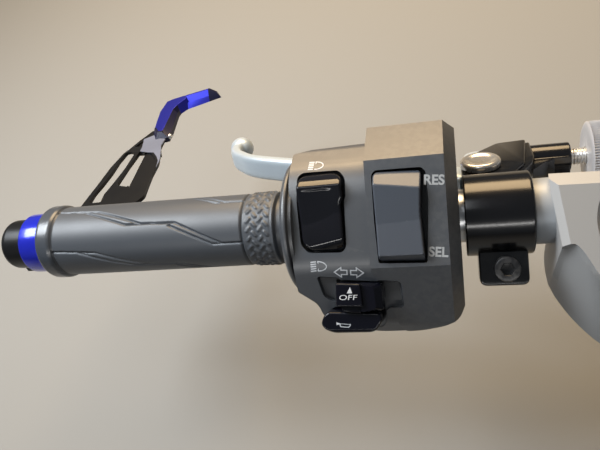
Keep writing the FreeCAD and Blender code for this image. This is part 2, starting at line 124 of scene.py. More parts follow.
def together(*shells):
    """One shell from several that may overlap."""
    points, faces, start = [], [], 0
    for part_points, part_faces in shells:
        points.append(np.asarray(part_points, float))
        faces += [[v + start for v in face] for face in part_faces]
        start += len(part_points)
    return np.concatenate(points), faces


def eased(before, corner, after, radius, steps):
    """Corners cut back along both sides by the radius, or by just under half a side where
    that is less, and joined by quadratic curves."""
    to_before, to_after = before - corner, after - corner
    size_b = np.linalg.norm(to_before, axis=1, keepdims=True)
    size_a = np.linalg.norm(to_after, axis=1, keepdims=True)
    cut = np.minimum(np.broadcast_to(np.reshape(radius, (-1, 1)), size_a.shape),
                     0.48 * np.minimum(size_a, size_b))
    a, b = corner + to_before / size_b * cut, corner + to_after / size_a * cut
    t = np.linspace(0, 1, steps)[None, :, None]
    curve = (1 - t) ** 2 * a[:, None] + 2 * t * (1 - t) * corner[:, None] + t ** 2 * b[:, None]
    return curve.reshape(-1, corner.shape[1])


def rounded(corners, radius=1.0, steps=5):
    """Closed outline with every corner eased."""
    c = np.asarray(corners, float)
    return eased(np.roll(c, 1, 0), c, np.roll(c, -1, 0), radius, steps)


def softened(profile, radius=0.5, steps=5):
    """Open profile with its inner corners eased."""
    p = np.asarray(profile, float)
    curve = eased(p[:-2], p[1:-1], p[2:], radius, steps)
    return np.concatenate([p[:1], curve, p[-1:]])


def circle(centre, radius, count):
    """Round outline about a centre."""
    turn = np.linspace(0, 2 * np.pi, count, endpoint=False)
    return np.column_stack([centre[0] + radius * np.cos(turn), centre[1] + radius * np.sin(turn)])


def evenly(line, spacing, closed=False):
    """Line resampled at an even spacing along its length; a closed one comes back to its start."""
    p = np.asarray(line, float)
    if closed:
        p = np.concatenate([p, p[:1]])
    size = np.concatenate([[0], np.cumsum(np.linalg.norm(np.diff(p, axis=0), axis=1))])
    count = int(size[-1] / spacing)
    u = np.linspace(0, size[-1], count if closed else count + 1, endpoint=not closed)
    return np.column_stack([np.interp(u, size, p[:, 0]), np.interp(u, size, p[:, 1])])


def outward(loop):
    """Direction away from the inside at each point of a closed flat outline: the sum of its
    two sides' normals, stretched so that both sides move by one unit, at most twofold."""
    side = np.roll(loop, -1, 0) - loop
    normal = np.stack([side[:, 1], -side[:, 0]], 1)
    normal /= np.maximum(np.linalg.norm(normal, axis=1, keepdims=True), 1e-9)
    both = normal + np.roll(normal, 1, 0)
    both /= np.maximum(np.linalg.norm(both, axis=1, keepdims=True), 1e-9)
    both /= np.maximum((both * normal).sum(1, keepdims=True), 0.5)
    turn = np.roll(loop, -1, 0)
    area = (loop[:, 0] * turn[:, 1] - loop[:, 1] * turn[:, 0]).sum()
    return both * np.sign(area)


def lifted(loop, height):
    """Flat outline at a height."""
    return np.column_stack([loop, np.full(len(loop), height)])


def slab(outline, low, high, rims=(0.6, 0.6), holes=(), steps=4):
    """Plate between two heights: its outline is carried up a profile with a quarter
    circle at each rim, and each hole's outline the same way in the other direction."""
    t = np.linspace(0, np.pi / 2, steps)
    inset = np.concatenate([rims[0] * (1 - np.sin(t)), rims[1] * (1 - np.cos(t))])
    height = np.concatenate([low + rims[0] * (1 - np.cos(t)), high - rims[1] * (1 - np.sin(t))])
    shells, bottom, top, start = [], [], [], 0
    for number, loop in enumerate([outline] + list(holes)):
        loop = np.asarray(loop, float)
        way = outward(loop) * (1 if number == 0 else -1)
        flat = loop[None] - way[None] * inset[:, None, None]
        rows = np.concatenate([flat, np.broadcast_to(height[:, None, None],
                                                     flat.shape[:2] + (1,))], 2)
        shells.append(grid(rows))
        n = len(loop)
        bottom.append((flat[0], start))
        top.append((flat[-1], start + (len(height) - 1) * n))
        start += len(height) * n
    points, faces = together(*shells)
    for level in (bottom, top):
        index = np.concatenate([first + np.arange(len(loop)) for loop, first in level])
        rings = [[Vector((x, y, 0)) for x, y in loop] for loop, _ in level]
        faces += [[int(index[v]) for v in face] for face in tessellate_polygon(rings)]
    return points, faces


def between(levels):
    """Shell through flat outlines with as many points each, one over the other."""
    rows = np.stack([lifted(np.asarray(loop, float), height) for loop, height in levels])
    return grid(rows, caps=(True, True))


def prism(outline, low, high):
    """Plain prism over a flat outline, with hard edges."""
    return between([(outline, low), (outline, high)])


def through(sections):
    """Shell through sections of (across, up) corners, each at its place along the bar."""
    rows = [np.column_stack([np.full(len(section), x), section]) for x, section in sections]
    return grid(np.stack(rows), caps=(True, True))


def bar_profile(section, x0, x1):
    """Prism along the bar over one section."""
    return through([(x0, section), (x1, section)])


def turned(profile, around="x", centre=(0.0, 0.0), sides=72, arc=None, swell=None):
    """Profile of (place along the axis, radius) turned about it. swell adds to the radius
    as a function of place, angle and radius. A profile that ends off the axis comes back
    to its start, so that the wall is closed."""
    p = np.asarray(profile, float)
    if p[0, 1] > 1e-6 and p[-1, 1] > 1e-6:
        p = np.concatenate([p, p[:1]])
    start, end = arc or (0.0, 2 * np.pi)
    angle = np.linspace(start, end, sides, endpoint=arc is not None)
    place, radius = p[:, :1] + 0 * angle, p[:, 1:2] + 0 * angle
    if swell is not None:
        radius = radius + swell(place, angle + 0 * place, radius)
    a, b = radius * np.cos(angle) + centre[0], radius * np.sin(angle) + centre[1]
    rows = np.stack([place, a, b] if around == "x" else [a, b, place], -1)
    return grid(rows, closed=arc is None)


def rod_shell(x0, x1, radius, centre=(0.0, 0.0)):
    """Closed round bar along the bar's direction."""
    return turned([(x0, 0.0), (x0, radius), (x1, radius), (x1, 0.0)], sides=64, centre=centre)


def carried(path, half_width, half_height, lift, sides=40, power=3.4):
    """Rounded section carried along a flat path. The section is a superellipse whose
    power makes it more or less square; it stands across the path's direction."""
    path = np.asarray(path, float)
    way = np.gradient(path, axis=0)
    way /= np.linalg.norm(way, axis=1, keepdims=True)
    across = np.stack([-way[:, 1], way[:, 0]], 1)
    t = np.linspace(0, 2 * np.pi, sides, endpoint=False)
    c, s = np.cos(t), np.sin(t)
    a = np.sign(c) * np.abs(c) ** (2 / power)
    b = np.sign(s) * np.abs(s) ** (2 / power)
    flat = path[:, None] + across[:, None] * (half_width[:, None] * a)[..., None]
    height = half_height[:, None] * b + lift[:, None]
    return grid(np.concatenate([flat, height[..., None]], 2), caps=(True, True))


def smooth_path(points, count):
    """Curve through the points: a cardinal spline with its tangents from the neighbours."""
    p = np.asarray(points, float)
    tangent = np.gradient(p, axis=0)
    u = np.linspace(0, len(p) - 1, count)
    k = np.minimum(u.astype(int), len(p) - 2)
    t = (u - k)[:, None]
    h00, h10 = 2 * t ** 3 - 3 * t ** 2 + 1, t ** 3 - 2 * t ** 2 + t
    h01, h11 = -2 * t ** 3 + 3 * t ** 2, t ** 3 - t ** 2
    return h00 * p[k] + h10 * tangent[k] + h01 * p[k + 1] + h11 * tangent[k + 1]


# Objects

def make_object(name, shell, where, angle=32):
    """Object from a shell of a frame, its faces turned outwards and its hard edges kept."""
    points, faces = shell
    turn, origin = where
    mesh = bpy.data.meshes.new(name)
    mesh.from_pydata(((points @ turn.T + origin) * MM).tolist(), [], faces)
    piece = bpy.data.objects.new(name, mesh)
    bpy.context.scene.collection.objects.link(piece)
    tidy(mesh, angle)
    return piece


def tidy(mesh, angle):
    """Merge doubles, turn the faces outwards and mark the edges sharper than the angle."""
    work = bmesh.new()
    work.from_mesh(mesh)
    bmesh.ops.remove_doubles(work, verts=work.verts, dist=1e-6)
    bmesh.ops.dissolve_degenerate(work, edges=work.edges, dist=1e-7)
    bmesh.ops.recalc_face_normals(work, faces=work.faces)
    if work.calc_volume(signed=True) < 0:
        bmesh.ops.reverse_faces(work, faces=work.faces)
    work.to_mesh(mesh)
    work.free()
    mesh.shade_smooth()
    mesh.set_sharp_from_angle(angle=math.radians(angle))


def settle(piece, angle=32):
    """Turn the piece's live modifiers into its mesh."""
    graph = bpy.context.evaluated_depsgraph_get()
    mesh = bpy.data.meshes.new_from_object(piece.evaluated_get(graph))
    piece.modifiers.clear()
    piece.data = mesh
    tidy(mesh, angle)


def combine(piece, others, how):
    """Boolean of the piece with each of the others, which are then removed."""
    for other in others:
        step = piece.modifiers.new("shape", "BOOLEAN")
        step.operation, step.solver, step.object = how, "EXACT", other
    settle(piece)
    for other in others:
        bpy.data.objects.remove(other)


def cutter(name, corners, low, high, radius=1.5, where=FACE):
    """Plain prism over a rounded outline, used to build or to cut."""
    return make_object(name, prism(rounded(corners, radius), low, high), where)


def add_shell(piece, shell, where):
    """Add a closed shell to the piece's own mesh."""
    other = make_object("extra", shell, where)
    work = bmesh.new()
    work.from_mesh(piece.data)
    work.from_mesh(other.data)
    work.to_mesh(piece.data)
    work.free()
    bpy.data.objects.remove(other)


def ease_edges(piece, width, steps=3, angle=28):
    """Round every edge sharper than the angle."""
    step = piece.modifiers.new("edges", "BEVEL")
    step.width, step.segments = width * MM, steps
    step.limit_method, step.angle_limit = "ANGLE", math.radians(angle)
    settle(piece, 40)


def flat_faces(piece):
    """Let large flat faces keep their own direction next to the rounded edges."""
    step = piece.modifiers.new("normals", "WEIGHTED_NORMAL")
    step.mode, step.weight, step.keep_sharp = "FACE_AREA", 50, True


def dress(piece, finish, body=FIXED, replaces=()):
    """Give the piece its finish and body, and hide the CAD nodes it replaces."""
    piece.data.materials.clear()
    piece.data.materials.append(finish)
    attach(piece, body)
    if replaces:
        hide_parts(*replaces)


def add(name, shell, where, finish, body=FIXED, replaces=(), angle=32):
    """Make and dress a piece in one step."""
    dress(make_object(name, shell, where, angle), finish, body, replaces)


# Surface effects, each built once as a node group

def new_group(name, inputs, outputs):
    """Empty node group with named sockets; returns it with its two end nodes."""
    group = bpy.data.node_groups.new(name, "ShaderNodeTree")
    for label, kind, value in inputs:
        socket = group.interface.new_socket(label, in_out="INPUT", socket_type=kind)
        if value is not None:
            socket.default_value = value
    for label, kind in outputs:
        group.interface.new_socket(label, in_out="OUTPUT", socket_type=kind)
    return group, group.nodes.new("NodeGroupInput"), group.nodes.new("NodeGroupOutput")


def new_nodes(tree, *kinds):
    """One shader node of each kind."""
    return [tree.nodes.new("ShaderNode" + kind) for kind in kinds]


def wire(tree, *pairs):
    """Link each pair of an output and an input."""
    for source, target in pairs:
        tree.links.new(source, target)


def grain_group():
    """Fine and coarse noise together: a height for bumps and a slow blotch for colour."""
    group, start, end = new_group(
        "fine_grain",
        [("Vector", "NodeSocketVector", None), ("Fine", "NodeSocketFloat", 3000.0),
         ("Coarse", "NodeSocketFloat", 60.0), ("Mix", "NodeSocketFloat", 0.5)],
        [("Height", "NodeSocketFloat"), ("Blotch", "NodeSocketFloat")])
    fine, coarse, cells, blend = new_nodes(group, "TexNoise", "TexNoise", "TexVoronoi", "Mix")
    fine.inputs["Detail"].default_value = 3.0
    coarse.inputs["Detail"].default_value = 4.0
    blend.data_type = "FLOAT"
    for texture, scale in ((fine, "Fine"), (coarse, "Coarse"), (cells, "Fine")):
        wire(group, (start.outputs["Vector"], texture.inputs["Vector"]),
             (start.outputs[scale], texture.inputs["Scale"]))
    wire(group, (start.outputs["Mix"], blend.inputs[0]), (fine.outputs[0], blend.inputs[2]),
         (cells.outputs[0], blend.inputs[3]), (blend.outputs[0], end.inputs["Height"]),
         (coarse.outputs[0], end.inputs["Blotch"]))
    return group


def multiplied_mask(group, end, first, second):
    """Give out the product of two masks."""
    both, = new_nodes(group, "Math")
    both.operation = "MULTIPLY"
    wire(group, (first.outputs[0], both.inputs[0]), (second.outputs[0], both.inputs[1]),
         (both.outputs[0], end.inputs["Mask"]))


def wear_group():
    """Mask of worn edges: where the surface bulges, broken up by noise."""
    group, start, end = new_group(
        "edge_wear",
        [("Vector", "NodeSocketVector", None), ("Start", "NodeSocketFloat", 0.52),
         ("End", "NodeSocketFloat", 0.6), ("Break", "NodeSocketFloat", 400.0)],
        [("Mask", "NodeSocketFloat")])
    shape, noise, ramp, cut = new_nodes(group, "NewGeometry", "TexNoise", "MapRange", "MapRange")
    cut.inputs["From Min"].default_value = 0.4
    cut.inputs["From Max"].default_value = 0.6
    wire(group, (start.outputs["Vector"], noise.inputs["Vector"]),
         (start.outputs["Break"], noise.inputs["Scale"]),
         (start.outputs["Start"], ramp.inputs["From Min"]),
         (start.outputs["End"], ramp.inputs["From Max"]),
         (shape.outputs["Pointiness"], ramp.inputs["Value"]),
         (noise.outputs[0], cut.inputs["Value"]))
    multiplied_mask(group, end, ramp, cut)
    return group


def dust_group():
    """Mask of settled dust: surfaces that look up, broken up by noise."""
    group, start, end = new_group(
        "settled_dust",
        [("Vector", "NodeSocketVector", None), ("Scale", "NodeSocketFloat", 250.0)],
        [("Mask", "NodeSocketFloat")])
    shape, split, noise, up, ramp = new_nodes(group, "NewGeometry", "SeparateXYZ", "TexNoise",
                                              "MapRange", "MapRange")
    ramp.inputs["From Min"].default_value = 0.45
    ramp.inputs["From Max"].default_value = 0.75
    wire(group, (start.outputs["Vector"], noise.inputs["Vector"]),
         (start.outputs["Scale"], noise.inputs["Scale"]),
         (shape.outputs["Normal"], split.inputs[0]), (split.outputs["Z"], up.inputs["Value"]),
         (noise.outputs[0], ramp.inputs["Value"]))
    multiplied_mask(group, end, up, ramp)
    return group


GRAIN, WEAR, DUST = grain_group(), wear_group(), dust_group()
DUST_COLOUR = (0.42, 0.39, 0.34)


def placed(tree, group, vector, **values):
    """The group's node in a material, with its own values."""
    node = tree.nodes.new("ShaderNodeGroup")
    node.node_tree = group
    tree.links.new(vector, node.inputs["Vector"])
    for label, value in values.items():
        node.inputs[label].default_value = value
    return node


def mixed(tree, mask, a, b, amount=1.0):
    """Colour between a and b by a mask; a and b are colours or sockets."""
    node, scale = new_nodes(tree, "Mix", "Math")
    node.data_type = "RGBA"
    scale.operation = "MULTIPLY"
    scale.inputs[1].default_value = amount
    tree.links.new(mask, scale.inputs[0])
    tree.links.new(scale.outputs[0], node.inputs[0])
    for socket, value in ((node.inputs[6], a), (node.inputs[7], b)):
        if isinstance(value, bpy.types.NodeSocket):
            tree.links.new(value, socket)
        else:
            socket.default_value = (*value, 1.0)
    return node.outputs[2]


def spread(tree, value, low, high):
    """Map a 0 to 1 value between two numbers."""
    node = tree.nodes.new("ShaderNodeMapRange")
    node.inputs["To Min"].default_value = low
    node.inputs["To Max"].default_value = high
    tree.links.new(value, node.inputs["Value"])
    return node.outputs[0]


def finish(name, colour, second=None, metallic=0.0, rough=(0.4, 0.5), fine=3000.0, coarse=60.0,
           cells=0.5, bump=0.02, stretch=(1, 1, 1), wear=None, wear_amount=0.6, dust=0.0,
           coat=0.0, coat_rough=0.1, specular=0.5, polished=None):
    """Procedural finish: blotched colour and roughness, grain as bump, worn edges and dust.
    polished is a place along the bar and a roughness beyond it, towards the outer end."""
    material = bpy.data.materials.new(name)
    material.use_nodes = True
    tree = material.node_tree
    shader = tree.nodes["Principled BSDF"]
    for label, value in (("Metallic", metallic), ("Coat Weight", coat),
                         ("Coat Roughness", coat_rough), ("Specular IOR Level", specular)):
        shader.inputs[label].default_value = value
    place, mapping, relief = new_nodes(tree, "TexCoord", "Mapping", "Bump")
    mapping.inputs["Scale"].default_value = stretch
    tree.links.new(place.outputs["Object"], mapping.inputs["Vector"])
    vector = mapping.outputs["Vector"]
    grain = placed(tree, GRAIN, vector, Fine=fine, Coarse=coarse, Mix=cells)
    base = mixed(tree, grain.outputs["Blotch"], colour, second or [0.8 * c for c in colour])
    if wear:
        edges = placed(tree, WEAR, place.outputs["Object"])
        base = mixed(tree, edges.outputs["Mask"], base, wear, wear_amount)
    if dust:
        settled = placed(tree, DUST, place.outputs["Object"])
        base = mixed(tree, settled.outputs["Mask"], base, DUST_COLOUR, dust)
    gloss = spread(tree, grain.outputs["Blotch"], *rough)
    if polished:
        split, ramp = new_nodes(tree, "SeparateXYZ", "MapRange")
        ramp.inputs["From Min"].default_value = (polished[0] - 0.5) * MM
        ramp.inputs["From Max"].default_value = (polished[0] + 0.5) * MM
        ramp.inputs["To Min"].default_value = polished[1]
        wire(tree, (place.outputs["Object"], split.inputs[0]),
             (split.outputs["X"], ramp.inputs["Value"]), (gloss, ramp.inputs["To Max"]))
        gloss = ramp.outputs[0]
    relief.inputs["Strength"].default_value = 1.0
    relief.inputs["Distance"].default_value = bump * MM
    wire(tree, (base, shader.inputs["Base Color"]), (gloss, shader.inputs["Roughness"]),
         (grain.outputs["Height"], relief.inputs["Height"]),
         (relief.outputs["Normal"], shader.inputs["Normal"]))
    return material


CAST_SILVER = finish("cast_silver", (0.43, 0.43, 0.425), (0.41, 0.41, 0.405), metallic=0.12,
                     rough=(0.42, 0.48), fine=2600, coarse=90, cells=0.6, bump=0.02)
NECK_METAL = finish("neck_metal", (0.40, 0.42, 0.44), (0.37, 0.39, 0.41), metallic=0.25,
                    rough=(0.44, 0.50), fine=1500, coarse=200, cells=0.0, bump=0.008,
                    stretch=(6, 1, 1))
# Lavender-grey of the thin sheet on the guard's lap: a painted reflection
LAP_PAINTED_REFLECTION = finish("lap_painted_reflection", (0.23, 0.25, 0.33), (0.21, 0.23, 0.30), metallic=0.3,
                  rough=(0.34, 0.42), fine=2600, coarse=130, bump=0.008)
MACHINED = finish("machined_aluminium", (0.62, 0.63, 0.64), (0.58, 0.59, 0.60), metallic=0.95,
                  rough=(0.25, 0.34), fine=1500, coarse=200, cells=0.0, bump=0.006,
                  stretch=(6, 1, 1))
STEEL = finish("plated_steel", (0.68, 0.67, 0.65), (0.62, 0.61, 0.59), metallic=0.75,
               rough=(0.20, 0.32), fine=1800, coarse=240, cells=0.3, bump=0.006,
               wear=(0.75, 0.74, 0.72))
BRIGHT_STEEL = finish("bright_steel", (0.78, 0.77, 0.75), (0.70, 0.69, 0.67), metallic=0.8,
                      rough=(0.24, 0.34), fine=1800, coarse=240, cells=0.3, bump=0.005)
WHEEL_STEEL = finish("wheel_steel", (0.56, 0.56, 0.58), (0.50, 0.50, 0.52), metallic=0.2,
                     rough=(0.34, 0.44), fine=1800, coarse=240, cells=0.3, bump=0.008,
                     wear=(0.85, 0.85, 0.86))
BLACK_STEEL = finish("black_steel", (0.022, 0.022, 0.024), (0.028, 0.028, 0.029), metallic=0.3,
                     rough=(0.28, 0.40), fine=2200, coarse=200, bump=0.008,
                     wear=(0.20, 0.19, 0.18))
GRIP_RUBBER = finish("grip_rubber", (0.068, 0.076, 0.088), (0.060, 0.067, 0.078),
                     rough=(0.42, 0.50), fine=2400, coarse=70, cells=0.6, bump=0.02,
                     specular=0.7, polished=(-259.8, 0.26))
SOFT_RUBBER = finish("soft_rubber", (0.03, 0.03, 0.031), (0.026, 0.026, 0.026),
                     rough=(0.6, 0.75), fine=2000, bump=0.02, dust=0.05)
BLUE = finish("blue_anodised", (0.055, 0.062, 0.66), (0.050, 0.056, 0.62), metallic=0.85,
              rough=(0.26, 0.32), fine=2400, coarse=120, cells=0.2, bump=0.004)
# Dark navy of the thin sheets of painted shade on the hook's side wall, end and foot
BLUE_PAINTED_SHADE = finish("blue_painted_shade", (0.006, 0.006, 0.030), (0.007, 0.007, 0.034),
                   rough=(0.34, 0.40), fine=2400, coarse=120, bump=0.004, specular=0.35)
BLUE_RING = finish("blue_ring", (0.018, 0.030, 0.62), (0.016, 0.026, 0.56), metallic=0.35,
                   rough=(0.18, 0.24), fine=2400, coarse=120, cells=0.2, bump=0.004,
                   wear=(0.16, 0.17, 0.70), wear_amount=0.4, coat=0.5, coat_rough=0.05)
GUARD_BLACK = finish("guard_black", (0.006, 0.006, 0.007), (0.008, 0.008, 0.008),
                     rough=(0.30, 0.38), fine=2600, coarse=130, bump=0.008, specular=0.3)
CASE_PLASTIC = finish("case_plastic", (0.056, 0.061, 0.069), (0.051, 0.056, 0.064),
                      rough=(0.38, 0.44), fine=2300, coarse=60, cells=0.75, bump=0.024,
                      wear=(0.11, 0.11, 0.11), wear_amount=0.3, dust=0.02, specular=0.9,
                      coat=0.25, coat_rough=0.28)
GLOSS_BLACK = finish("gloss_black", (0.008, 0.008, 0.011), (0.009, 0.009, 0.012),
                     rough=(0.06, 0.10), fine=900, coarse=70, bump=0.002)
GLOSS_DEEP = finish("gloss_deep", (0.004, 0.004, 0.008), (0.005, 0.005, 0.009),
                    rough=(0.12, 0.18), fine=900, coarse=70, bump=0.002, specular=0.35)
GREY_PLASTIC = finish("grey_plastic", (0.085, 0.095, 0.115), (0.078, 0.088, 0.106),
                      rough=(0.26, 0.32), fine=2400, coarse=60, cells=0.6, bump=0.010,
                      wear=(0.20, 0.20, 0.22), wear_amount=0.4)
PERCH_BLACK = finish("perch_black", (0.003, 0.003, 0.004), (0.004, 0.004, 0.005),
                     rough=(0.16, 0.22), fine=2200, coarse=100, bump=0.004, specular=0.65,
                     wear=(0.25, 0.24, 0.23), wear_amount=0.15)
LEVER_SILVER = finish("lever_silver", (0.60, 0.67, 0.72), (0.56, 0.63, 0.68), metallic=0.35,
                      rough=(0.32, 0.40), fine=1500, coarse=110, cells=0.2, bump=0.006,
                      stretch=(1, 5, 5))
WHITE_PAINT = finish("white_marking", (0.70, 0.70, 0.70), (0.64, 0.64, 0.64),
                     rough=(0.5, 0.6), fine=3000, bump=0.003)
GREY_PAINT = finish("grey_marking", (0.45, 0.46, 0.46), (0.42, 0.43, 0.43),
                    rough=(0.5, 0.6), fine=3000, bump=0.003)
BRONZE = finish("bronze", (0.45, 0.28, 0.12), (0.36, 0.22, 0.10), metallic=1.0,
                rough=(0.3, 0.4), fine=1500, bump=0.01)


# Grip

GRIP_IN, GRIP_OUT = -142.6, -269.6
FLANGE_LINE, CUFF_LINE, LIP_LINE = -259.8, -162.5, -149.2
GRIP_CORE = BAR_R + 0.1
REPEAT = 72.0             # the groove motif repeats after this turn, in degrees
GROOVE_R, GROOVE_HALF, GROOVE_DEEP = 16.9, 0.62, 0.8
# Groove lines as (place along the bar, turn in degrees from the middle of the switch face)
GROOVES = [
    [(-259.4, 55), (-247.3, 52.5), (-236.5, 49.5), (-211.5, 20.5), (-194.4, 18.5),
     (-171.9, -19), (-162.6, -19.5)],
    [(-246.0, 51.5), (-219.8, 20.5), (-210.7, 20.5)],
    [(-197.3, 14.5), (-176.5, -19.5), (-170.0, -19.5)],
]


def to_groove(x, turn):
    """Distance from each surface point to the nearest groove line, on the wall rolled out
    flat: the turn becomes an arc, and each stretch of a line is met at its closest point."""
    scale = np.array([1.0, np.radians(GROOVE_R)])
    nearest, y = np.full(x.shape, 99.0), turn * scale[1]
    for line in GROOVES:
        for repeat in range(-3, 4):
            flat = (np.array(line, float) + [0, repeat * REPEAT]) * scale
            for (ax, ay), (bx, by) in zip(flat[:-1], flat[1:]):
                dx, dy = bx - ax, by - ay
                t = np.clip(((x - ax) * dx + (y - ay) * dy) / (dx * dx + dy * dy), 0, 1)
                nearest = np.minimum(nearest, np.hypot(x - ax - t * dx, y - ay - t * dy))
    return nearest


LOZENGE_START, COLUMN_PITCH, ROW_PITCH, LOZENGE_LEAN = -159.2, 2.7, 14.4, 50
LOZENGE_R, LOZENGE_HALF, LOZENGE_TALL = 16.6, (1.75, 0.72), 0.55


def tread(x, turn):
    """Raised lozenges on the cuff: four columns of short bars that lean one way, then the
    other. Each is one less the cubes of its two places over its half sizes."""
    column = np.round((x - LOZENGE_START) / COLUMN_PITCH)
    along = x - LOZENGE_START - column * COLUMN_PITCH
    shift = (column % 2) * ROW_PITCH / 2
    row = np.round((turn - shift) / ROW_PITCH)
    across = np.radians(turn - shift - row * ROW_PITCH) * LOZENGE_R
    lean = np.where(column % 2 == 0, 1.0, -1.0) * math.radians(LOZENGE_LEAN)
    u = along * np.cos(lean) + across * np.sin(lean)
    v = -along * np.sin(lean) + across * np.cos(lean)
    inside = 1.0 - ((np.abs(u) / LOZENGE_HALF[0]) ** 3 + (np.abs(v) / LOZENGE_HALF[1]) ** 3)
    band = (column >= 0) & (column <= 3)
    return np.where(band, np.clip(inside * 1.6, 0, 1), 0.0)


def grip_relief(x, angle, radius):
    """Grooves cut in and lozenges raised on the grip's outer wall. A groove is a power of
    the nearness to its line, and the three lines round the grip are plain notches."""
    turn = -((np.degrees(angle) - 90.0 - FACE_TILT + 180) % 360 - 180)
    outer = radius > GRIP_CORE + 3.2
    body = (x > FLANGE_LINE) & (x < CUFF_LINE) & outer
    depth = np.clip(1.0 - to_groove(x, turn) / GROOVE_HALF, 0, 1)
    out = np.where(body, -GROOVE_DEEP * depth ** 0.7, 0.0)
    for line, width, deep in ((FLANGE_LINE, 0.55, 0.8), (CUFF_LINE, 0.6, 0.9),
                              (LIP_LINE, 0.35, 0.35)):
        cut = np.clip(1.0 - np.abs(x - line) / width, 0, 1)
        out = out - np.where(outer, deep * cut, 0.0)
    cuff = outer & (x > CUFF_LINE) & (x < LIP_LINE)
    return out + np.where(cuff, LOZENGE_TALL * tread(x, turn), 0.0)


def make_grip():
    """Rubber sleeve: rounded flange, tapering body, cuff and lip."""
    x0 = GRIP_OUT
    wall = softened([(x0, 11.6), (x0, 15.8), (x0 + 1.6, 18.2), (x0 + 8.2, 18.25),
                     (x0 + 9.8, 17.0), (x0 + 24, 17.05), (CUFF_LINE - 1.0, 16.45),
                     (CUFF_LINE + 1.0, 16.3), (LIP_LINE, 16.45), (-148.0, 16.5),
                     (-147.4, 14.4), (GRIP_IN, 14.2), (GRIP_IN, 11.6)],
                    [1.2, 1.6, 1.6, 1.0, 5, 0.5, 0.5, 0.5, 0.5, 0.4, 0.3], 6)
    wall = np.concatenate([[(x0, GRIP_CORE)], evenly(wall, 0.43), [(GRIP_IN, GRIP_CORE)]])
    add("grip_sleeve", turned(wall, sides=272, swell=grip_relief), STRAIGHT, GRIP_RUBBER,
        replaces=["grip"], angle=60)


# Bar end and lever guard

ROOT_OUT, ROOT_IN = -295.4, -281.1
PLATE_LOW, PLATE_HIGH, PLATE_WEB = -15.5, -9.0, -11.2
# Outlines on the guard's plane as (place along the bar, forward), the slopes and layers
# as (forward, height)
ARM_PLATE = [(-278.9, 35.0), (-277.7, 45.6), (-276.2, 55.9), (-274.3, 72.9), (-272.1, 81.4),
             (-269.4, 93.1), (-266.0, 95.0), (-249.0, 90.0), (-244.2, 82.0), (-241.8, 72.1),
             (-242.0, 61.1), (-241.1, 51.6), (-240.0, 42.3), (-246.0, 34.0), (-268.0, 25.5)]
ARM_ROOT = [(ROOT_OUT + 0.6, -5), (ROOT_OUT + 0.4, 8), (-278.9, 35.0), (-268, 25.5),
            (ROOT_IN, 21), (ROOT_IN, -5)]
ARM_SLOT = [(-269.0, 87.6), (-270.8, 78.5), (-271.3, 67.6), (-272.5, 58.9), (-274.6, 48.0),
            (-274.6, 40.0), (-266.8, 40.0), (-267.6, 47.0), (-265.5, 57.0), (-263.4, 70.2),
            (-262.7, 84.0), (-265.6, 87.6)]
ARM_WINDOW = [(-259.6, 87.0), (-261.6, 71.3), (-262.7, 54.5), (-254.2, 52.0), (-255.4, 84.9)]
ARM_POCKET = [(-255.5, 84.9), (-251.0, 84.4), (-245.2, 76.6), (-244.6, 64.8), (-245.8, 52.2),
              (-254.3, 52.0)]
ARM_LAP = [(-269.6, 92.6), (-268.0, 102.3), (-261.0, 113.6), (-260.3, 110.0), (-255.7, 101.5),
           (-249.2, 101.5), (-249.1, 93.0), (-245.5, 84.6), (-252.0, 86.0), (-259.5, 88.6),
           (-266.5, 89.2)]
ARM_NOTCH = [(-267.4, 93.2), (-265.6, 101.0), (-262.2, 103.0), (-260.6, 97.0), (-263.6, 92.6)]
LAP_SLOPE = [(86, PLATE_HIGH), (102, -12), (125, -12), (125, -5), (86, -5)]
TIP_UNDER = [(-259.9, 110.4), (-260.1, 118.6), (-261.9, 131.2), (-260.8, 144.2),
             (-256.5, 147.0), (-231.6, 155.2), (-225.6, 153.4), (-223.9, 151.3),
             (-231.6, 147.6), (-244.0, 141.9), (-246.0, 140.9), (-249.7, 135.9),
             (-250.3, 132.4), (-247.4, 109.0), (-247.6, 103.8), (-255.4, 101.8)]
TIP_MIDDLE = TIP_UNDER[:6] + [(-227.2, 154.4), (-226.6, 152.4), (-230.3, 150.3), (-245.2, 144.7),
                              (-246.2, 144.2), (-249.7, 136.9)] + TIP_UNDER[12:]
TIP_OVER = [(-258.2, 111.6), (-259.4, 118.6), (-261.2, 131.2), (-260.2, 143.6),
            (-256.2, 146.2), (-232.0, 154.3), (-231.9, 154.0), (-231.8, 153.5),
            (-232.0, 153.0), (-247.2, 147.6), (-246.1, 144.8), (-250.6, 138.0),
            (-252.4, 132.8), (-251.4, 110.5), (-251.8, 106.4), (-254.2, 106.2)]
# Thin dark sheets of painted shade on the hook, as outlines under, at the bevel and over: on its
# right side wall, on its end facet and at its foot
SHADE_SIDE_UNDER = [(-251.5, 103.6), (-247.2, 103.6), (-247.0, 109.0), (-249.9, 132.4),
               (-249.4, 135.6), (-250.2, 136.4), (-252.6, 132.4)]
SHADE_SIDE_OVER = [(-252.4, 106.4), (-251.5, 106.3), (-250.9, 110.5), (-252.1, 132.8),
              (-250.4, 137.2), (-251.0, 137.8), (-253.0, 132.6)]
TIP_END_UNDER = [(-231.7, 147.4), (-223.8, 151.1), (-225.4, 153.5), (-231.6, 154.9)]
TIP_END_MIDDLE = [(-231.8, 149.4), (-226.4, 152.2), (-227.0, 154.4), (-231.6, 154.9)]
TIP_END_OVER = [(-232.1, 152.8), (-231.3, 153.2), (-231.3, 154.1), (-232.1, 154.3)]
TIP_FOOT_UNDER = [(-247.5, 103.6), (-255.5, 101.6), (-260.0, 110.3), (-259.0, 111.2),
                  (-254.9, 103.2), (-247.8, 105.0)]
TIP_FOOT_OVER = [(-251.4, 106.1), (-254.3, 105.9), (-258.4, 111.5), (-257.6, 112.0),
                 (-254.0, 107.2), (-251.4, 107.4)]
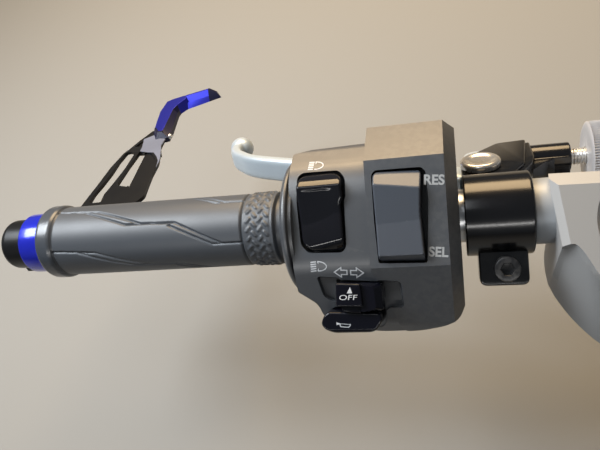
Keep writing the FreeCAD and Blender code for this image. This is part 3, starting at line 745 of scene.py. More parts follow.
# Outline and section of the thin sheet on the lap: a painted reflection, lavender-grey where the
# lap's face catches light
LAP_REFLECTION_OUTLINE = [(-264.8, 104.0), (-258.7, 107.5), (-254.0, 103.0), (-248.4, 102.0), (-247.6, 93.0),
           (-244.2, 84.6), (-241.8, 75.0), (-241.6, 68.0), (-242.6, 74.5), (-245.4, 79.4),
           (-248.8, 83.6), (-253.6, 84.6), (-259.5, 86.6), (-260.8, 92.5)]
REFLECTION_LAYER = [(60, -9.4), (86, -9.4), (102, -12.4), (112, -12.4), (112, -11.8), (102, -11.8),
             (86, -8.8), (60, -8.8)]
TIP_EDGE = -12.2          # height where the hook's bevelled walls start
TONGUE = [(-258, 95), (-258, 119.5), (-253, 119.5), (-253, 95)]
TONGUE_POCKET = [(-258.2, 90), (-258.2, 119.7), (-252.8, 119.7), (-252.8, 90)]
SCREW_R = 1.9
# Each screw's seat and rim along the bar, the way it looks, and its place across
TIP_SCREWS = ((-247.05, -245.2, 1, (105.6, -12.9)), (-260.15, -261.6, -1, (116.7, -12.9)))
ROOT_BORE = 4.3


def make_bar_end():
    """Anodised ring and the bolt in the mouth of the guard's root ring."""
    ring = softened([(-280.9, 4.3), (-280.9, 14.9), (-269.8, 14.9), (-269.8, 4.3)], 0.9, 5)
    add("bar_end_ring", turned(ring, sides=128), STRAIGHT, BLUE_RING,
        replaces=["bar_end_collar"])
    bolt = softened([(ROOT_OUT + 2.6, 0.0), (ROOT_OUT + 2.6, 2.9), (ROOT_OUT + 0.5, 3.0),
                     (ROOT_OUT + 0.5, 6.5), (ROOT_OUT + 6.3, 6.5), (ROOT_OUT + 6.3, 3.9),
                     (-246.0, 3.9), (-246.0, 0.0)], 0.35, 4)
    add("bar_end_screw", turned(bolt, sides=48), STRAIGHT, BLACK_STEEL,
        replaces=["bar_end_bolt"])


def guard_profile(name, section):
    """Prism over a section, as long as the guard is wide."""
    return make_object(name, bar_profile(section, -290, -230), GUARD)


def make_guard():
    """Root ring, truss plate with its slot, window and sunk pocket, the sloping lap that
    the hook sits on, and a thin lavender-grey sheet of painted reflection on the lap."""
    low, high = PLATE_LOW, PLATE_HIGH
    root = softened([(ROOT_OUT, 6.9), (ROOT_OUT, 9.6), (ROOT_OUT + 2.8, 12.5), (ROOT_IN, 12.55),
                     (ROOT_IN, ROOT_BORE), (ROOT_OUT + 6.5, ROOT_BORE), (ROOT_OUT + 6.5, 6.9)],
                    [1.4, 2.4, 0.5, 0.3, 0.2], 6)
    lap = cutter("lap", ARM_LAP, low + 1.6, high, 0.8, GUARD)
    combine(lap, [guard_profile("slope", LAP_SLOPE),
                  cutter("notch", ARM_NOTCH, -12.4, high + 1, 1.2, GUARD)], "DIFFERENCE")
    arm = cutter("guard_truss", ARM_PLATE, PLATE_WEB, high, 2.0, GUARD)
    combine(arm, [guard_profile("slope", LAP_SLOPE),
                  cutter("slot", ARM_SLOT, low - 1, high + 1, 1.2, GUARD),
                  cutter("pocket", ARM_POCKET, high - 1.1, high + 1, 1.6, GUARD)], "DIFFERENCE")
    combine(arm, [cutter("root", ARM_ROOT, low, high, 0.8, GUARD), lap,
                  cutter("tongue", TONGUE, low + 0.1, -12.3, 0.5, GUARD)], "UNION")
    combine(arm, [cutter("window", ARM_WINDOW, low - 1, high + 1, 1.6, GUARD),
                  make_object("bore", rod_shell(-300, -240, ROOT_BORE), STRAIGHT)], "DIFFERENCE")
    ease_edges(arm, 0.4)
    add_shell(arm, turned(root, sides=128), STRAIGHT)
    flat_faces(arm)
    dress(arm, GUARD_BLACK, replaces=["guard_arm"])
    # Painted reflection: a thin lavender-grey sheet laid over the lap
    pad = cutter("guard_lap_painted_reflection", LAP_REFLECTION_OUTLINE, -14, -8, 0.8, GUARD)
    combine(pad, [guard_profile("layer", REFLECTION_LAYER)], "INTERSECT")
    dress(pad, LAP_PAINTED_REFLECTION)


def make_hook():
    """Bent tip with bevelled walls over a straight lower edge, thin dark sheets of painted
    shade on its end, its right side wall and its foot, and its two domed screws."""
    hook = make_object("guard_hook", between(
        [(TIP_UNDER, PLATE_LOW), (TIP_MIDDLE, TIP_EDGE), (TIP_OVER, PLATE_HIGH)]), GUARD)
    pocket = cutter("pocket", TONGUE_POCKET, PLATE_LOW - 1, TIP_EDGE, 0.4, GUARD)
    combine(hook, [pocket], "DIFFERENCE")
    ease_edges(hook, 0.3, angle=16)
    flat_faces(hook)
    dress(hook, BLUE, replaces=["guard_tip"])
    # Painted shade: thin dark sheets laid on the hook's side wall, end facet and foot, where these
    # fall into shade
    low, high = PLATE_LOW + 0.1, PLATE_HIGH
    shade_side = between([(SHADE_SIDE_UNDER, low), (SHADE_SIDE_UNDER, TIP_EDGE), (SHADE_SIDE_OVER, high - 0.1)])
    end = between([(TIP_END_UNDER, low), (TIP_END_MIDDLE, TIP_EDGE), (TIP_END_OVER, high + 0.12)])
    foot = between([(TIP_FOOT_UNDER, low), (TIP_FOOT_UNDER, TIP_EDGE),
                    (TIP_FOOT_OVER, high + 0.12)])
    add("hook_painted_shade", together(shade_side, end, foot), GUARD, BLUE_PAINTED_SHADE,
        angle=16)
    heads = []
    for seat, rim, way, place in TIP_SCREWS:
        head = softened([(seat, 0.0), (seat, SCREW_R), (seat + 0.5 * way, SCREW_R),
                         (rim - 0.1 * way, 1.2), (rim, 0.0)], 0.5, 6)
        heads.append(turned(head, centre=place, sides=48))
    add("guard_screws", together(*heads), GUARD, BRIGHT_STEEL,
        replaces=["guard_tip_screws"])


# Switch housing

CASE_IN, CASE_OUT = -70.4, -141.7
# Heights of the face, the raised block and the far half over the bar's axis
FACE_V, BLOCK_V, FRONT_V = 24.0, 27.0, -13.5
CHAMFER_X = -74.8         # where the long chamfer on the block's inner end starts
RIM_R = 29.0
CASE_BORE = 11.3
JOINT = 0.05              # half of the gap between the housing's halves
# Outlines on the switch face as (place along the bar, across)
CASE_OUTLINE = [(-137.5, -27.6), (-137.5, 31.0), (-130, 32.4), (-104, 33.3), (CHAMFER_X, 33.3),
                (CHAMFER_X, -42.2), (-78.4, -44.3), (-88, -46.5), (-104, -47.0),
                (-116, -45.6), (-124.6, -43.0), (-128.4, -38.6), (-129.8, -33.4),
                (-133.4, -30.6)]
CASE_CORNERS = [0.8] * 6 + [3.0] * 8
BLOCK_OUTLINE = [(-105.4, 39.2), (CASE_IN, 39.2), (CASE_IN, -36.0), (-72.5, -41.0),
                 (-78.4, -44.3), (-88, -46.5), (-96, -47.0), (-100, -30.0), (-105.2, -20.0)]
DIMMER_MOUTH = [(-133.9, 20.2), (-131.8, 22.0), (-116.6, 21.8), (-113.9, 18.4), (-113.8, 10.9),
                (-114.5, 9.4), (-114.8, -9.6), (-116.6, -11.6), (-130.5, -11.2), (-133.6, -7.8),
                (-134.3, 9.0)]
MENU_MOUTH = [(-102.7, 18.2), (-101.2, 19.9), (-83.4, 19.7), (-81.8, 17.8), (-81.4, 7.0),
              (-83.2, -17.0), (-101.9, -16.4), (-102.6, 0.0)]
TURN_MOUTH = [(-121.0, -22.6), (-95.4, -24.6), (-94.8, -35.0), (-100.0, -35.6),
              (-104.0, -38.5), (-120.5, -36.5)]
SCOOP = [(-128.1, -21.3), (-119.0, -22.2), (-119.0, -32.2), (-121.6, -32.2), (-124.2, -31.6),
         (-126.6, -29.6)]
LEDGE = [(-103.5, -24.3), (-94.9, -24.9), (-94.5, -34.9), (-103.5, -34.3)]
DIMMER_FLOOR, MENU_FLOOR, TURN_FLOOR, HORN_FLOOR = 14.6, 15.2, 12.4, 7.6
HORN_MOUTH = [(-127.4, -40.6), (-124.2, -34.6), (-102.0, -34.6), (-101.2, -39.4), (-103.6, -44.6),
              (-121.6, -45.6), (-126.4, -43.4)]


def face_line():
    """Section across the housing, as (across, height): low slope, flat face and the top
    that rolls over into a flat at 45 degrees before it drops to the joint."""
    low = softened([(-48, 0.05), (-48, 4), (-41.5, 12), (-16.5, FACE_V), (0.0, FACE_V)],
                   [0.5, 2.0, 4.5], 8)
    roll = smooth_path([(6.0, FACE_V), (12.5, 23.8), (18.3, 22.6), (23.2, 20.1), (26.4, 17.2)], 28)
    edge = softened([(26.8, 16.8), (31.9, 11.5), (33.3, 9.0), (33.3, 0.05)], [1.2, 1.2], 5)
    return np.concatenate([low, roll, edge])


BLOCK_LINE = [(-48, 0.05), (-48, 5.0), (-42, BLOCK_V - 14.0), (-18.2, BLOCK_V),
              (24.0, BLOCK_V), (39.2, BLOCK_V - 15.5), (39.2, 0.05)]
BLOCK_END = [(-48, 0.05), (-48, 2.0), (-41, 7.0), (-17.4, BLOCK_V - 6.7), (21.4, BLOCK_V - 6.7),
             (36.4, 5.0), (36.4, 0.05)]


# The block's last section is drawn in on all sides, so that a long chamfer runs round its end
BLOCK_SECTIONS = [(-105.4, BLOCK_LINE), (CHAMFER_X, BLOCK_LINE), (CASE_IN, BLOCK_END)]


def skin(u):
    """Height of the housing's skin at a distance across the bar."""
    line = face_line()
    return np.interp(u, line[:, 0], line[:, 1])


def half_rim(sign):
    """Half of the round rim next to the grip, closed on the joint plane."""
    profile = softened([(CASE_OUT + 0.5, 11.4), (CASE_OUT + 0.2, 22.0), (CASE_OUT, 26.4),
                        (CASE_OUT + 1.5, 28.6), (-139.4, RIM_R), (-138.3, RIM_R - 0.2),
                        (-138.0, 26.9), (-136.5, 26.8), (-136.5, 11.4)],
                       [0.5, 1.5, 1.4, 1.0, 0.5, 0.3, 0.3], 6)
    edge, sides = 0.0025, 97
    arc = (edge, np.pi - edge) if sign > 0 else (np.pi + edge, 2 * np.pi - edge)
    points, faces = turned(profile, sides=sides, arc=arc)
    columns = np.arange(len(profile)) * sides
    return points, faces + [columns.tolist(), (columns + sides - 1)[::-1].tolist()]


def shape_with(piece, shell):
    """Keep what the piece and a shell of the housing's skin share."""
    combine(piece, [make_object("skin", shell, FACE)], "INTERSECT")


def case_bore():
    """Rod that bores the housing for the bar."""
    return make_object("bore", rod_shell(-150, -60, CASE_BORE), STRAIGHT)


def make_case_rear():
    """Rider's half: rolled body and raised block joined, pockets sunk, edges eased."""
    case = cutter("switch_case_rider", CASE_OUTLINE, JOINT, 40, CASE_CORNERS)
    shape_with(case, bar_profile(face_line(), -138, -69))
    block = cutter("block", BLOCK_OUTLINE, JOINT, 40, [0.3] * 3 + [3.0] * 6)
    shape_with(block, through(BLOCK_SECTIONS))
    combine(case, [block], "UNION")
    combine(case, [cutter("dimmer", DIMMER_MOUTH, DIMMER_FLOOR, 60, 1.6),
                   cutter("menu", MENU_MOUTH, MENU_FLOOR, 60, 1.0),
                   cutter("turn", TURN_MOUTH, TURN_FLOOR, 60, 0.8),
                   cutter("horn", HORN_MOUTH, HORN_FLOOR, 60, 2.4), case_bore()], "DIFFERENCE")
    combine(case, [sunk("scoop", SCOOP, 2.4), sunk("ledge", LEDGE, 2.4, 0.10)], "DIFFERENCE")
    ease_edges(case, 0.5)
    add_shell(case, half_rim(1), FACE)
    flat_faces(case)
    dress(case, CASE_PLASTIC, replaces=["switch_case_rear"])


def sunk(name, corners, depth, fade=1.0):
    """Cutter for a shallow recess whose floor follows the slope: the outline stands on a
    floor a little under the housing's skin and widens upwards. fade is the share of the
    depth that is left at its inner end."""
    loop = rounded(corners, 1.2, 5)
    way = outward(loop)
    x = loop[:, 0]
    deep = depth * (1 - (1 - fade) * (x - x.min()) / (x.max() - x.min()))
    floor = np.column_stack([loop - way * 0.2, skin(loop[:, 1]) - deep])
    over = np.column_stack([loop + way * 1.2, skin(loop[:, 1]) + 4.0])
    return make_object(name, grid(np.stack([floor, over]), caps=(True, True)), FACE)


FAR_LINE = [(-48, 0), (-46, -5), (-37, -10), (-20, FRONT_V), (24, FRONT_V), (31.4, -8),
            (33.3, -3), (33.3, 0)]
FAR_BLOCK = [(-48, 0), (-46, -5), (-37, -10), (-20, FRONT_V), (24, FRONT_V), (30, -9),
             (39.2, -3), (39.2, 0)]
FAR_OUTLINE = [(-105.0, 39.2), (CHAMFER_X, 39.2), (CASE_IN, 36.4), (CASE_IN, -36.0),
               (-72.5, -41.0), (-78.4, -44.3), (-88, -46.5), (-96, -47.0), (-100, -30.0),
               (-105.0, -20.0)]
FAR_RIM = [(-40, 0), (-28, -7), (-20, FRONT_V), (24, FRONT_V), (28.5, -9), (40, 0)]
WELLS = ((-128.0, -22.0), (-79.0, -24.0))   # the screws' places on the far half


def make_case_front():
    """Far half: shallow body with a joint line, screws in their wells."""
    case = cutter("switch_case_far", CASE_OUTLINE, -40, -JOINT, CASE_CORNERS)
    shape_with(case, bar_profile(softened(FAR_LINE, 2.0, 6), -138, -69))
    block = cutter("block", FAR_OUTLINE, -40, -JOINT, [0.3] * 4 + [3.0] * 6)
    shape_with(block, bar_profile(FAR_BLOCK, -138, -69))
    combine(case, [block], "UNION")
    well = [(-30, 0.0), (-30, 3.5), (-8.0, 3.5), (-8.0, 0.0)]
    wells = [make_object("well", turned(well, around="z", centre=place, sides=32), FACE)
             for place in WELLS]
    combine(case, wells + [case_bore()], "DIFFERENCE")
    ease_edges(case, 0.5)
    rim = make_object("rim", half_rim(-1), FACE)
    shape_with(rim, bar_profile(FAR_RIM, -150, -60))
    combine(case, [rim], "UNION")
    flat_faces(case)
    dress(case, CASE_PLASTIC, replaces=["switch_case_front"])
    head = softened([(-8.1, 0.0), (-8.1, 3.1), (-11.2, 3.1), (-12.3, 1.8), (-11.0, 1.2),
                     (-11.0, 0.0)], 0.4, 4)
    heads = [turned(head, around="z", centre=place, sides=40) for place in WELLS]
    add("case_screws", together(*heads), FACE, STEEL, replaces=["switch_case_screws"])


# Switches

def cap(corners, base, top, radius=2.0, inset=0.9, along=44):
    """Rocker cap. The outline is carried up an upright wall, rounded over a quarter circle
    and drawn in to the middle; every point takes its height from top(x, u)."""
    loop = evenly(rounded(corners, radius, 7), 0.45, closed=True)
    way = outward(loop)
    rows = [lifted(loop, base)]
    for drop in (3.0, 1.5):
        rows.append(np.column_stack([loop, top(loop[:, 0], loop[:, 1]) - inset - drop]))
    for t in np.linspace(0, np.pi / 2, 9):
        flat = loop - way * inset * (1 - np.cos(t))
        height = top(flat[:, 0], flat[:, 1]) - inset * (1 - np.sin(t))
        rows.append(np.column_stack([flat, height]))
    flat = loop - way * inset
    middle = (flat.max(0) + flat.min(0)) / 2
    for share in np.linspace(0.975, 0.02, along):
        inner = middle + (flat - middle) * share
        rows.append(np.column_stack([inner, top(inner[:, 0], inner[:, 1])]))
    return grid(np.stack(rows), caps=(True, True))


DIMMER_CAP = [(-133.4, 16.0), (-132.2, 20.6), (-118.4, 21.1), (-115.0, 18.4), (-114.9, 9.8),
              (-115.9, 8.2), (-115.5, -10.2), (-117.2, -11.0), (-129.2, -10.2), (-132.3, -7.0),
              (-133.0, 4.0)]
MENU_CAP = [(-101.9, 17.6), (-100.9, 19.2), (-84.6, 18.9), (-83.6, 17.6), (-84.7, 2.3),
            (-83.9, -16.1), (-101.3, -15.3), (-101.7, 0.6)]
HORN_CAP = [(-127.4, -40.4), (-126.2, -37.2), (-124.2, -35.3), (-103.0, -36.2), (-102.3, -39.6),
            (-104.9, -43.2), (-107.2, -44.1), (-122.2, -44.2), (-125.7, -42.6)]
SLIDE_LOW, SLIDE_TOP = 24.4, 28.4
SLIDE_STEM = [(-119.3, -23.6), (-102.1, -24.9), (-101.8, -31.6), (-118.9, -30.6)]
SLIDE_PLATE = [(-119.3, -23.4), (-109.6, -24.0), (-109.0, -33.0), (-119.7, -32.6)]
SLIDE_LIP = [([(-111.0, -24.0), (-101.6, -24.6), (-101.2, -35.2), (-110.6, -36.2)], 20.0),
             ([(-111.0, -24.0), (-101.9, -24.8), (-101.6, -35.0), (-110.6, -36.0)], SLIDE_LOW),
             ([(-110.8, -24.4), (-104.6, -25.6), (-104.0, -34.2), (-110.2, -35.4)], 26.6)]
SLIDE_TOOTH = [(-118.9, -32.2), (-110.2, -32.6), (-110.2, -36.0), (-117.4, -35.4)]


def dimmer_top(x, u):
    """Height of the dimmer: a bright facet at its upper end, a hollow that falls to a
    curved crease, and the lower pad that swells again and drops at its end."""
    share = np.clip((x + 132.0) / 13.5, 0, 1)
    crease = 0.4 + 3.9 * share ** 1.7
    upper = np.clip((u - crease) / (15.4 - crease), 0, 1)
    hollow = 25.4 + 2.6 * upper ** 1.15
    facet = 28.0 - (u - 15.4) * 0.5 - np.clip(u - 15.4, 0, 9) ** 2 * 0.12
    lower = np.clip((crease - u) / (crease + 9.0), 0, 1)
    pad = 25.4 + 0.6 * np.sin(lower * np.pi * 0.75)
    drop = np.clip(-6.6 + 0.22 * (x + 124) - u, 0, 9)
    height = np.where(u > crease, np.minimum(hollow, facet), pad - 0.10 * drop ** 2)
    return height - 0.25 * (1 - (2 * share - 1) ** 2) * (u < 14)


def menu_top(x, u):
    """Height of the grey rocker: a short bright facet that narrows to one side, two flat
    fields that meet in a shallow bend, and a steep lower end."""
    share = np.clip((x + 101.9) / 18.0, 0, 1)
    bend = -1.0 + 1.0 * share ** 2
    crest = 14.3 - 2.6 * share
    upper = 29.9 + 1.5 * np.clip((u - bend) / (crest - bend), 0, 1)
    facet = 31.4 - (u - crest) * 0.80 - np.clip(u - 17.5, 0, 9) ** 2 * 0.3
    lower = 29.9 + 0.9 * np.clip((bend - u) / (bend + 13.4), 0, 1)
    end = 30.8 - np.clip(-13.4 - u, 0, 9) * 1.5
    return np.where(u > bend, np.minimum(upper, facet), np.minimum(lower, end))


def make_rockers():
    """Gloss dimmer and the grey rocker beside it."""
    add("dimmer_cap", cap(DIMMER_CAP, DIMMER_FLOOR + 0.2, dimmer_top, 2.2, 1.0), FACE,
        GLOSS_BLACK, replaces=["dimmer_rocker"], angle=60)
    add("menu_cap", cap(MENU_CAP, MENU_FLOOR + 0.2, menu_top, 1.2, 0.7), FACE,
        GREY_PLASTIC, replaces=["menu_rocker"], angle=60)


def make_turn_switch():
    """Slide knob: a stem in the slot, the plate with its sign and a lip that falls to the
    right; the long oval horn button under it."""
    stem = slab(rounded(SLIDE_STEM, 0.6), TURN_FLOOR + 0.2, SLIDE_LOW + 0.2, (0.2, 0.3))
    top = slab(rounded(SLIDE_PLATE, 0.7), SLIDE_LOW, SLIDE_TOP, (0.4, 0.6))
    lip = between([(rounded(corners, 1.2), height) for corners, height in SLIDE_LIP])
    tooth = slab(rounded(SLIDE_TOOTH, 0.6), 21.0, 25.6, (0.3, 0.7))
    add("turn_slide", together(stem, top, lip, tooth), FACE, GLOSS_DEEP,
        replaces=["turn_switch"])
    add("horn_cap", cap(HORN_CAP, HORN_FLOOR + 0.4, horn_top, 1.6, 1.0, 30), FACE, GLOSS_DEEP,
        replaces=["horn_button"], angle=60)


def horn_top(x, u):
    """Height of the horn button: nearly flat, a little hollow along its middle."""
    middle = np.clip(1 - ((x + 114.3) / 12.0) ** 2, 0, 1)
    return 24.1 - 0.5 * middle - np.clip(-42.6 - u, 0, 5) * 0.4


# Markings: flat shapes a hair thick, laid on the skin

INK = 0.05                # their thickness


def stroke(line, width, closed=False):
    """Outline of a drawn line: both sides at half the width."""
    p = np.asarray(line, float)
    if closed:
        way = outward(p)
    else:
        run = np.gradient(p, axis=0)
        run /= np.linalg.norm(run, axis=1, keepdims=True)
        way = np.stack([-run[:, 1], run[:, 0]], 1)
    a, b = p + way * width / 2, p - way * width / 2
    rows = np.stack([lifted(edge, height) for edge, height in
                     ((a, 0.0), (a, INK), (b, INK), (b, 0.0), (a, 0.0))], 1)
    if closed:
        rows = np.concatenate([rows, rows[:1]])
    return grid(rows, closed=False, caps=(False, False) if closed else (True, True))


def laid(shell, x, u, height, size=(1.0, 1.0), turn=0.0, slant=0.0):
    """Shell scaled, slanted and turned in the plane, moved to a place and laid on a surface
    whose height is a number or a function of the distance across."""
    points, faces = shell
    c, s = math.cos(math.radians(turn)), math.sin(math.radians(turn))
    wide, tall, rise = (points * [size[0], size[1], 1.0]).T
    wide = wide + tall * slant
    a, b = wide * c - tall * s + x, wide * s + tall * c + u
    over = height(b) if callable(height) else height
    return np.column_stack([a, b, rise + over + 0.02]), faces


def lamp_icon(rays, slant):
    """Beam sign: an outlined half-round lamp with rays beside it."""
    t = np.linspace(-np.pi / 2, np.pi / 2, 17)
    lamp = np.column_stack([3.3 * np.cos(t), 1.75 * np.sin(t)])
    shells = [stroke(lamp, 0.42, closed=True)]
    for u in np.linspace(1.65, -1.65, rays):
        shells.append(stroke([(-0.7, u), (-2.9, u + slant)], 0.52))
    return together(*shells)


ARROW = np.array([(0.0, 0.95), (-2.4, 0.95), (-2.4, 2.1), (-5.2, 0.0), (-2.4, -2.1),
                  (-2.4, -0.95), (0.0, -0.95)])


def arrow_icon(way):
    """Outlined arrow."""
    return stroke(ARROW * [way, 1.0], 0.5, closed=True)


def horn_icon():
    """Small horn: a solid bell at the left and a flat outlined loop."""
    bell = prism([(-3.2, 1.3), (-2.3, 0.75), (-1.2, 0.45), (-1.2, 0.1), (-2.5, -0.4),
                  (-2.9, -1.3)][::-1], 0.0, INK)
    loop = rounded([(-1.2, 0.3), (3.2, 0.3), (2.6, -1.0), (-1.0, -1.0)], 0.6, 5)
    pipe = stroke([(-1.3, 0.3), (3.2, 0.32)], 0.34)
    return together(bell, stroke(loop, 0.34, closed=True), pipe)


def lettering(text, height, bold):
    """Plain letters as a shell, their middle at the origin."""
    curve = bpy.data.curves.new("letters", "FONT")
    curve.body, curve.size, curve.extrude = text, 1.0, 0.02
    curve.align_x, curve.align_y, curve.offset = "CENTER", "CENTER", bold
    holder = bpy.data.objects.new("letters", curve)
    bpy.context.scene.collection.objects.link(holder)
    graph = bpy.context.evaluated_depsgraph_get()
    mesh = bpy.data.meshes.new_from_object(holder.evaluated_get(graph))
    bpy.data.objects.remove(holder)
    points = np.zeros(len(mesh.vertices) * 3)
    mesh.vertices.foreach_get("co", points)
    points = points.reshape(-1, 3)
    tall = points[:, 1].max() - points[:, 1].min()
    middle = (points.max(0) + points.min(0)) / 2
    points = (points - middle) * (height / tall)
    points[:, 2] = np.where(points[:, 2] > 0, INK, 0.0)
    return points, [list(face.vertices) for face in mesh.polygons]


def make_markings():
    """Beam signs, arrows, horn, OFF with its pointer, RES and SEL."""
    signs = [
        laid(lamp_icon(5, 0.0), -126.6, 24.7, skin, (1.02, 0.95), -3),
        laid(lamp_icon(5, -0.35), -127.1, -16.7, skin, (1.06, 1.12), -4),
        laid(arrow_icon(1), -115.5, -19.8, skin, (1.0, 0.95), -4),
        laid(arrow_icon(-1), -114.0, -19.9, skin, (1.0, 0.95), -4),
    ]
    add("housing_signs", together(*signs), FACE, WHITE_PAINT)
    words = [laid(lettering("RES", 4.0, 0.03), -78.8, 14.4, BLOCK_V, (0.96, 1.0), -5),
             laid(lettering("SEL", 3.9, 0.03), -78.9, -13.0, BLOCK_V, (0.96, 1.0), -5)]
    add("housing_words", together(*words), FACE, GREY_PAINT)
    pointer = prism([(-1.1, -1.2), (1.1, -1.2), (0.4, 1.3)], 0.0, INK)
    slide = [laid(lettering("OFF", 2.0, 0.0), -114.5, -29.1, SLIDE_TOP, (1.48, 1.0), -1, 0.18),
             laid(pointer, -113.9, -26.3, SLIDE_TOP),
             laid(horn_icon(), -118.3, -40.6, 23.68, (1.0, 0.9), -5)]
    add("switch_signs", together(*slide), FACE, WHITE_PAINT)


# Lever perch, pivot and adjuster

PIVOT = (-60.0, 26.0)     # along the bar and forward of it
CABLE = (48.0, 2.5)       # forward and up
EAR_X = CASE_IN + 2.0
PERCH_IN, PERCH_R = -42.2, 17.0
EAR_LOW, EAR_HIGH = 7.4, 11.0
UNDER_LOW, UNDER_HIGH = -5.0, -1.4   # the lower ear
WHEEL_R = CABLE[0] - 32.4
BOSS = [(-37.0, 4.2), (-37.0, 6.9), (-19.4, 6.9), (-19.4, 4.2)]
EAR = [(EAR_X, 8), (EAR_X, 35.5), (-51.2, 52.5), (-37.9, 54.0), (-41.4, 26), (-45.6, 19.1),
       (-45.6, 8)]
WEB = [(EAR_X, 6), (EAR_X, 17.4), (-45.6, 17.4), (-45.6, 6)]
CABLE_ARM = [(-46.8, 6), (-46.8, 24), (-43.8, 30), (-43.8, 53.6), (-36.0, 53.8), (-36.0, 36.0),
             (-37.6, 29.4), (-43.4, 18.6), (-43.4, 6)]
BOSS_BLOCK = [(-37.5, 40.9), (-37.5, 53.8), (-19.8, 53.6), (-19.8, 41.4)]
GUSSET = [(-38.0, 30.0), (-38.0, 44.0), (-22.0, 44.0), (-31.0, 38.6)]
PINCH_LUG = [(-64, -29), (-64, -8), (-45, -8), (-45, -29)]


def on_lever(shell, where):
    """Shell of another frame on the bar, in the lever's axes."""
    return shell[0] @ (LEVER[0].T @ where[0]).T, shell[1]


def make_perch():
    """Band round the bar, two ears, the arm to the cable boss, and the pinch lug."""
    band = turned(softened([(EAR_X, BAR_R + 0.2), (EAR_X, PERCH_R), (PERCH_IN, PERCH_R),
                            (PERCH_IN, BAR_R + 0.2)], [0.8, 1.4], 6), sides=96)
    hole = rounded(circle(PIVOT, 4.2, 24), 0.2, 2)
    body = together(
        on_lever(band, STRAIGHT),
        slab(rounded(EAR, 1.6), EAR_LOW, EAR_HIGH, (0.3, 0.6), [hole]),
        slab(rounded(EAR, 1.6), UNDER_LOW, UNDER_HIGH, (0.6, 0.3), [hole]),
        slab(rounded(WEB, 0.8), -4.8, 10.8),
        slab(rounded(CABLE_ARM, 1.2), UNDER_LOW, 9.6, (0.8, 1.0)),
        slab(rounded(BOSS_BLOCK, 1.0), -4.2, 5.6, (0.8, 0.8)),
        slab(rounded(GUSSET, 1.5), -4.2, 5.0, (0.8, 0.8)),
        turned(softened(BOSS, [0.6, 0.8], 5), centre=CABLE, sides=64),
        on_lever(slab(rounded(PINCH_LUG, 3.0, 6), -9.0, 7.0, (0.8, 0.8)), FACE))
    add("perch_body", body, LEVER, PERCH_BLACK, replaces=["lever_perch"])


BOLT_HEAD_R, SOCKET_R, BOLT_R = 5.0, 2.6, 2.9


def socket_bolt(low, high, foot, centre):
    """Shank and round head: circles one over the other, with a six-sided hole sunk in the
    top, whose radius is that of a flat side seen from the middle."""
    angle = np.linspace(0, 2 * np.pi, 60, endpoint=False)
    half = np.pi / 6
    facet = SOCKET_R * math.cos(half) / np.cos(angle % (2 * half) - half)
    rows = []
    for radius, height in ((0.0, low), (BOLT_HEAD_R, low), (BOLT_HEAD_R, high - 0.6),
                           (BOLT_HEAD_R - 0.15, high - 0.2), (BOLT_HEAD_R - 0.6, high),
                           (facet + 0.3, high), (facet, high - 0.3), (facet, high - 3.0),
                           (0.0, high - 3.4)):
        flat = np.column_stack([centre[0] + radius * np.cos(angle),
                                centre[1] + radius * np.sin(angle)])
        rows.append(lifted(flat, height))
    top = low + 0.1
    shank = turned([(foot, 0.0), (foot, BOLT_R), (top, BOLT_R), (top, 0.0)], around="z",
                   centre=centre, sides=32)
    return together(grid(np.stack(rows)), shank)


def knurl(count, depth, low, high):
    """Straight knurling between two places along the axis: the radius falls by the depth
    times a triangle wave of the turn."""
    def relief(place, angle, radius):
        tooth = np.abs(((angle * count / (2 * np.pi)) % 1.0) - 0.5) * 2
        band = np.clip((place - low) / 0.5, 0, 1) * np.clip((high - place) / 0.5, 0, 1)
        return -depth * (1 - tooth) * band * (radius > 12)
    return relief


def make_adjuster():
    """Screw whose thread is a cosine wave along its axis, and the big knurled wheel."""
    pitch = 1.4
    x = np.linspace(-20.0, -12.7, 72)
    wave = 4.0 - 0.5 * (0.5 + 0.5 * np.cos(2 * np.pi * x / pitch))
    screw = np.concatenate([[(-36.0, 1.6), (-36.0, 3.6)], np.column_stack([x, wave]),
                            [(-12.6, 4.0), (-4.5, 4.0), (-4.4, 3.9), (-3.6, 3.8), (-3.5, 2.8),
                             (-14.5, 2.8), (-14.5, 1.6)]])
    add("cable_screw", turned(screw, centre=CABLE, sides=56), LEVER, BRIGHT_STEEL,
        replaces=["cable_adjuster"])
    rim = [(place, WHEEL_R - 0.05) for place in np.linspace(-11.6, -5.6, 18)]
    face = softened([(-12.55, 4.2), (-12.55, 12.6), (-12.2, 14.4), (-11.7, WHEEL_R - 0.3)],
                    [1.0, 0.6], 5)
    back = face[::-1] * [-1, 1] + [-17.2, 0]
    wheel = np.concatenate([face, rim, back])
    add("knurled_wheel", turned(wheel, centre=CABLE, sides=640,
                                swell=knurl(80, 1.0, -11.7, -5.5)),
        LEVER, WHEEL_STEEL, replaces=["adjuster_wheel"], angle=20)


def make_pivot():
    """Dished bolt head on the upper ear, nut under the lower one."""
    seat, head_r, shank_r = EAR_HIGH + 0.02, 8.8, 4.0
    head = softened([(seat, 0.0), (seat, head_r), (seat + 2.6, head_r), (seat + 3.6, 7.6),
                     (seat + 3.5, 6.2), (seat + 2.7, 4.6), (seat + 2.7, 0.0)], 0.7, 5)
    shank = [(-11.2, 0.0), (-11.2, 3.6), (-10.6, shank_r), (seat + 0.2, shank_r),
             (seat + 0.2, 0.0)]
    bolt = together(turned(head, around="z", centre=PIVOT, sides=72),
                    turned(shank, around="z", centre=PIVOT, sides=40))
    add("pivot_screw", bolt, LEVER, STEEL, replaces=["pivot_bolt"])
    hole = circle(PIVOT, shank_r + 0.1, 24)
    nut = slab(rounded(circle(PIVOT, 7.4, 6), 0.5, 3), -10.4, UNDER_LOW - 0.02, (0.5, 0.2), [hole])
    add("pivot_lock_nut", nut, LEVER, STEEL, replaces=["pivot_nut"])


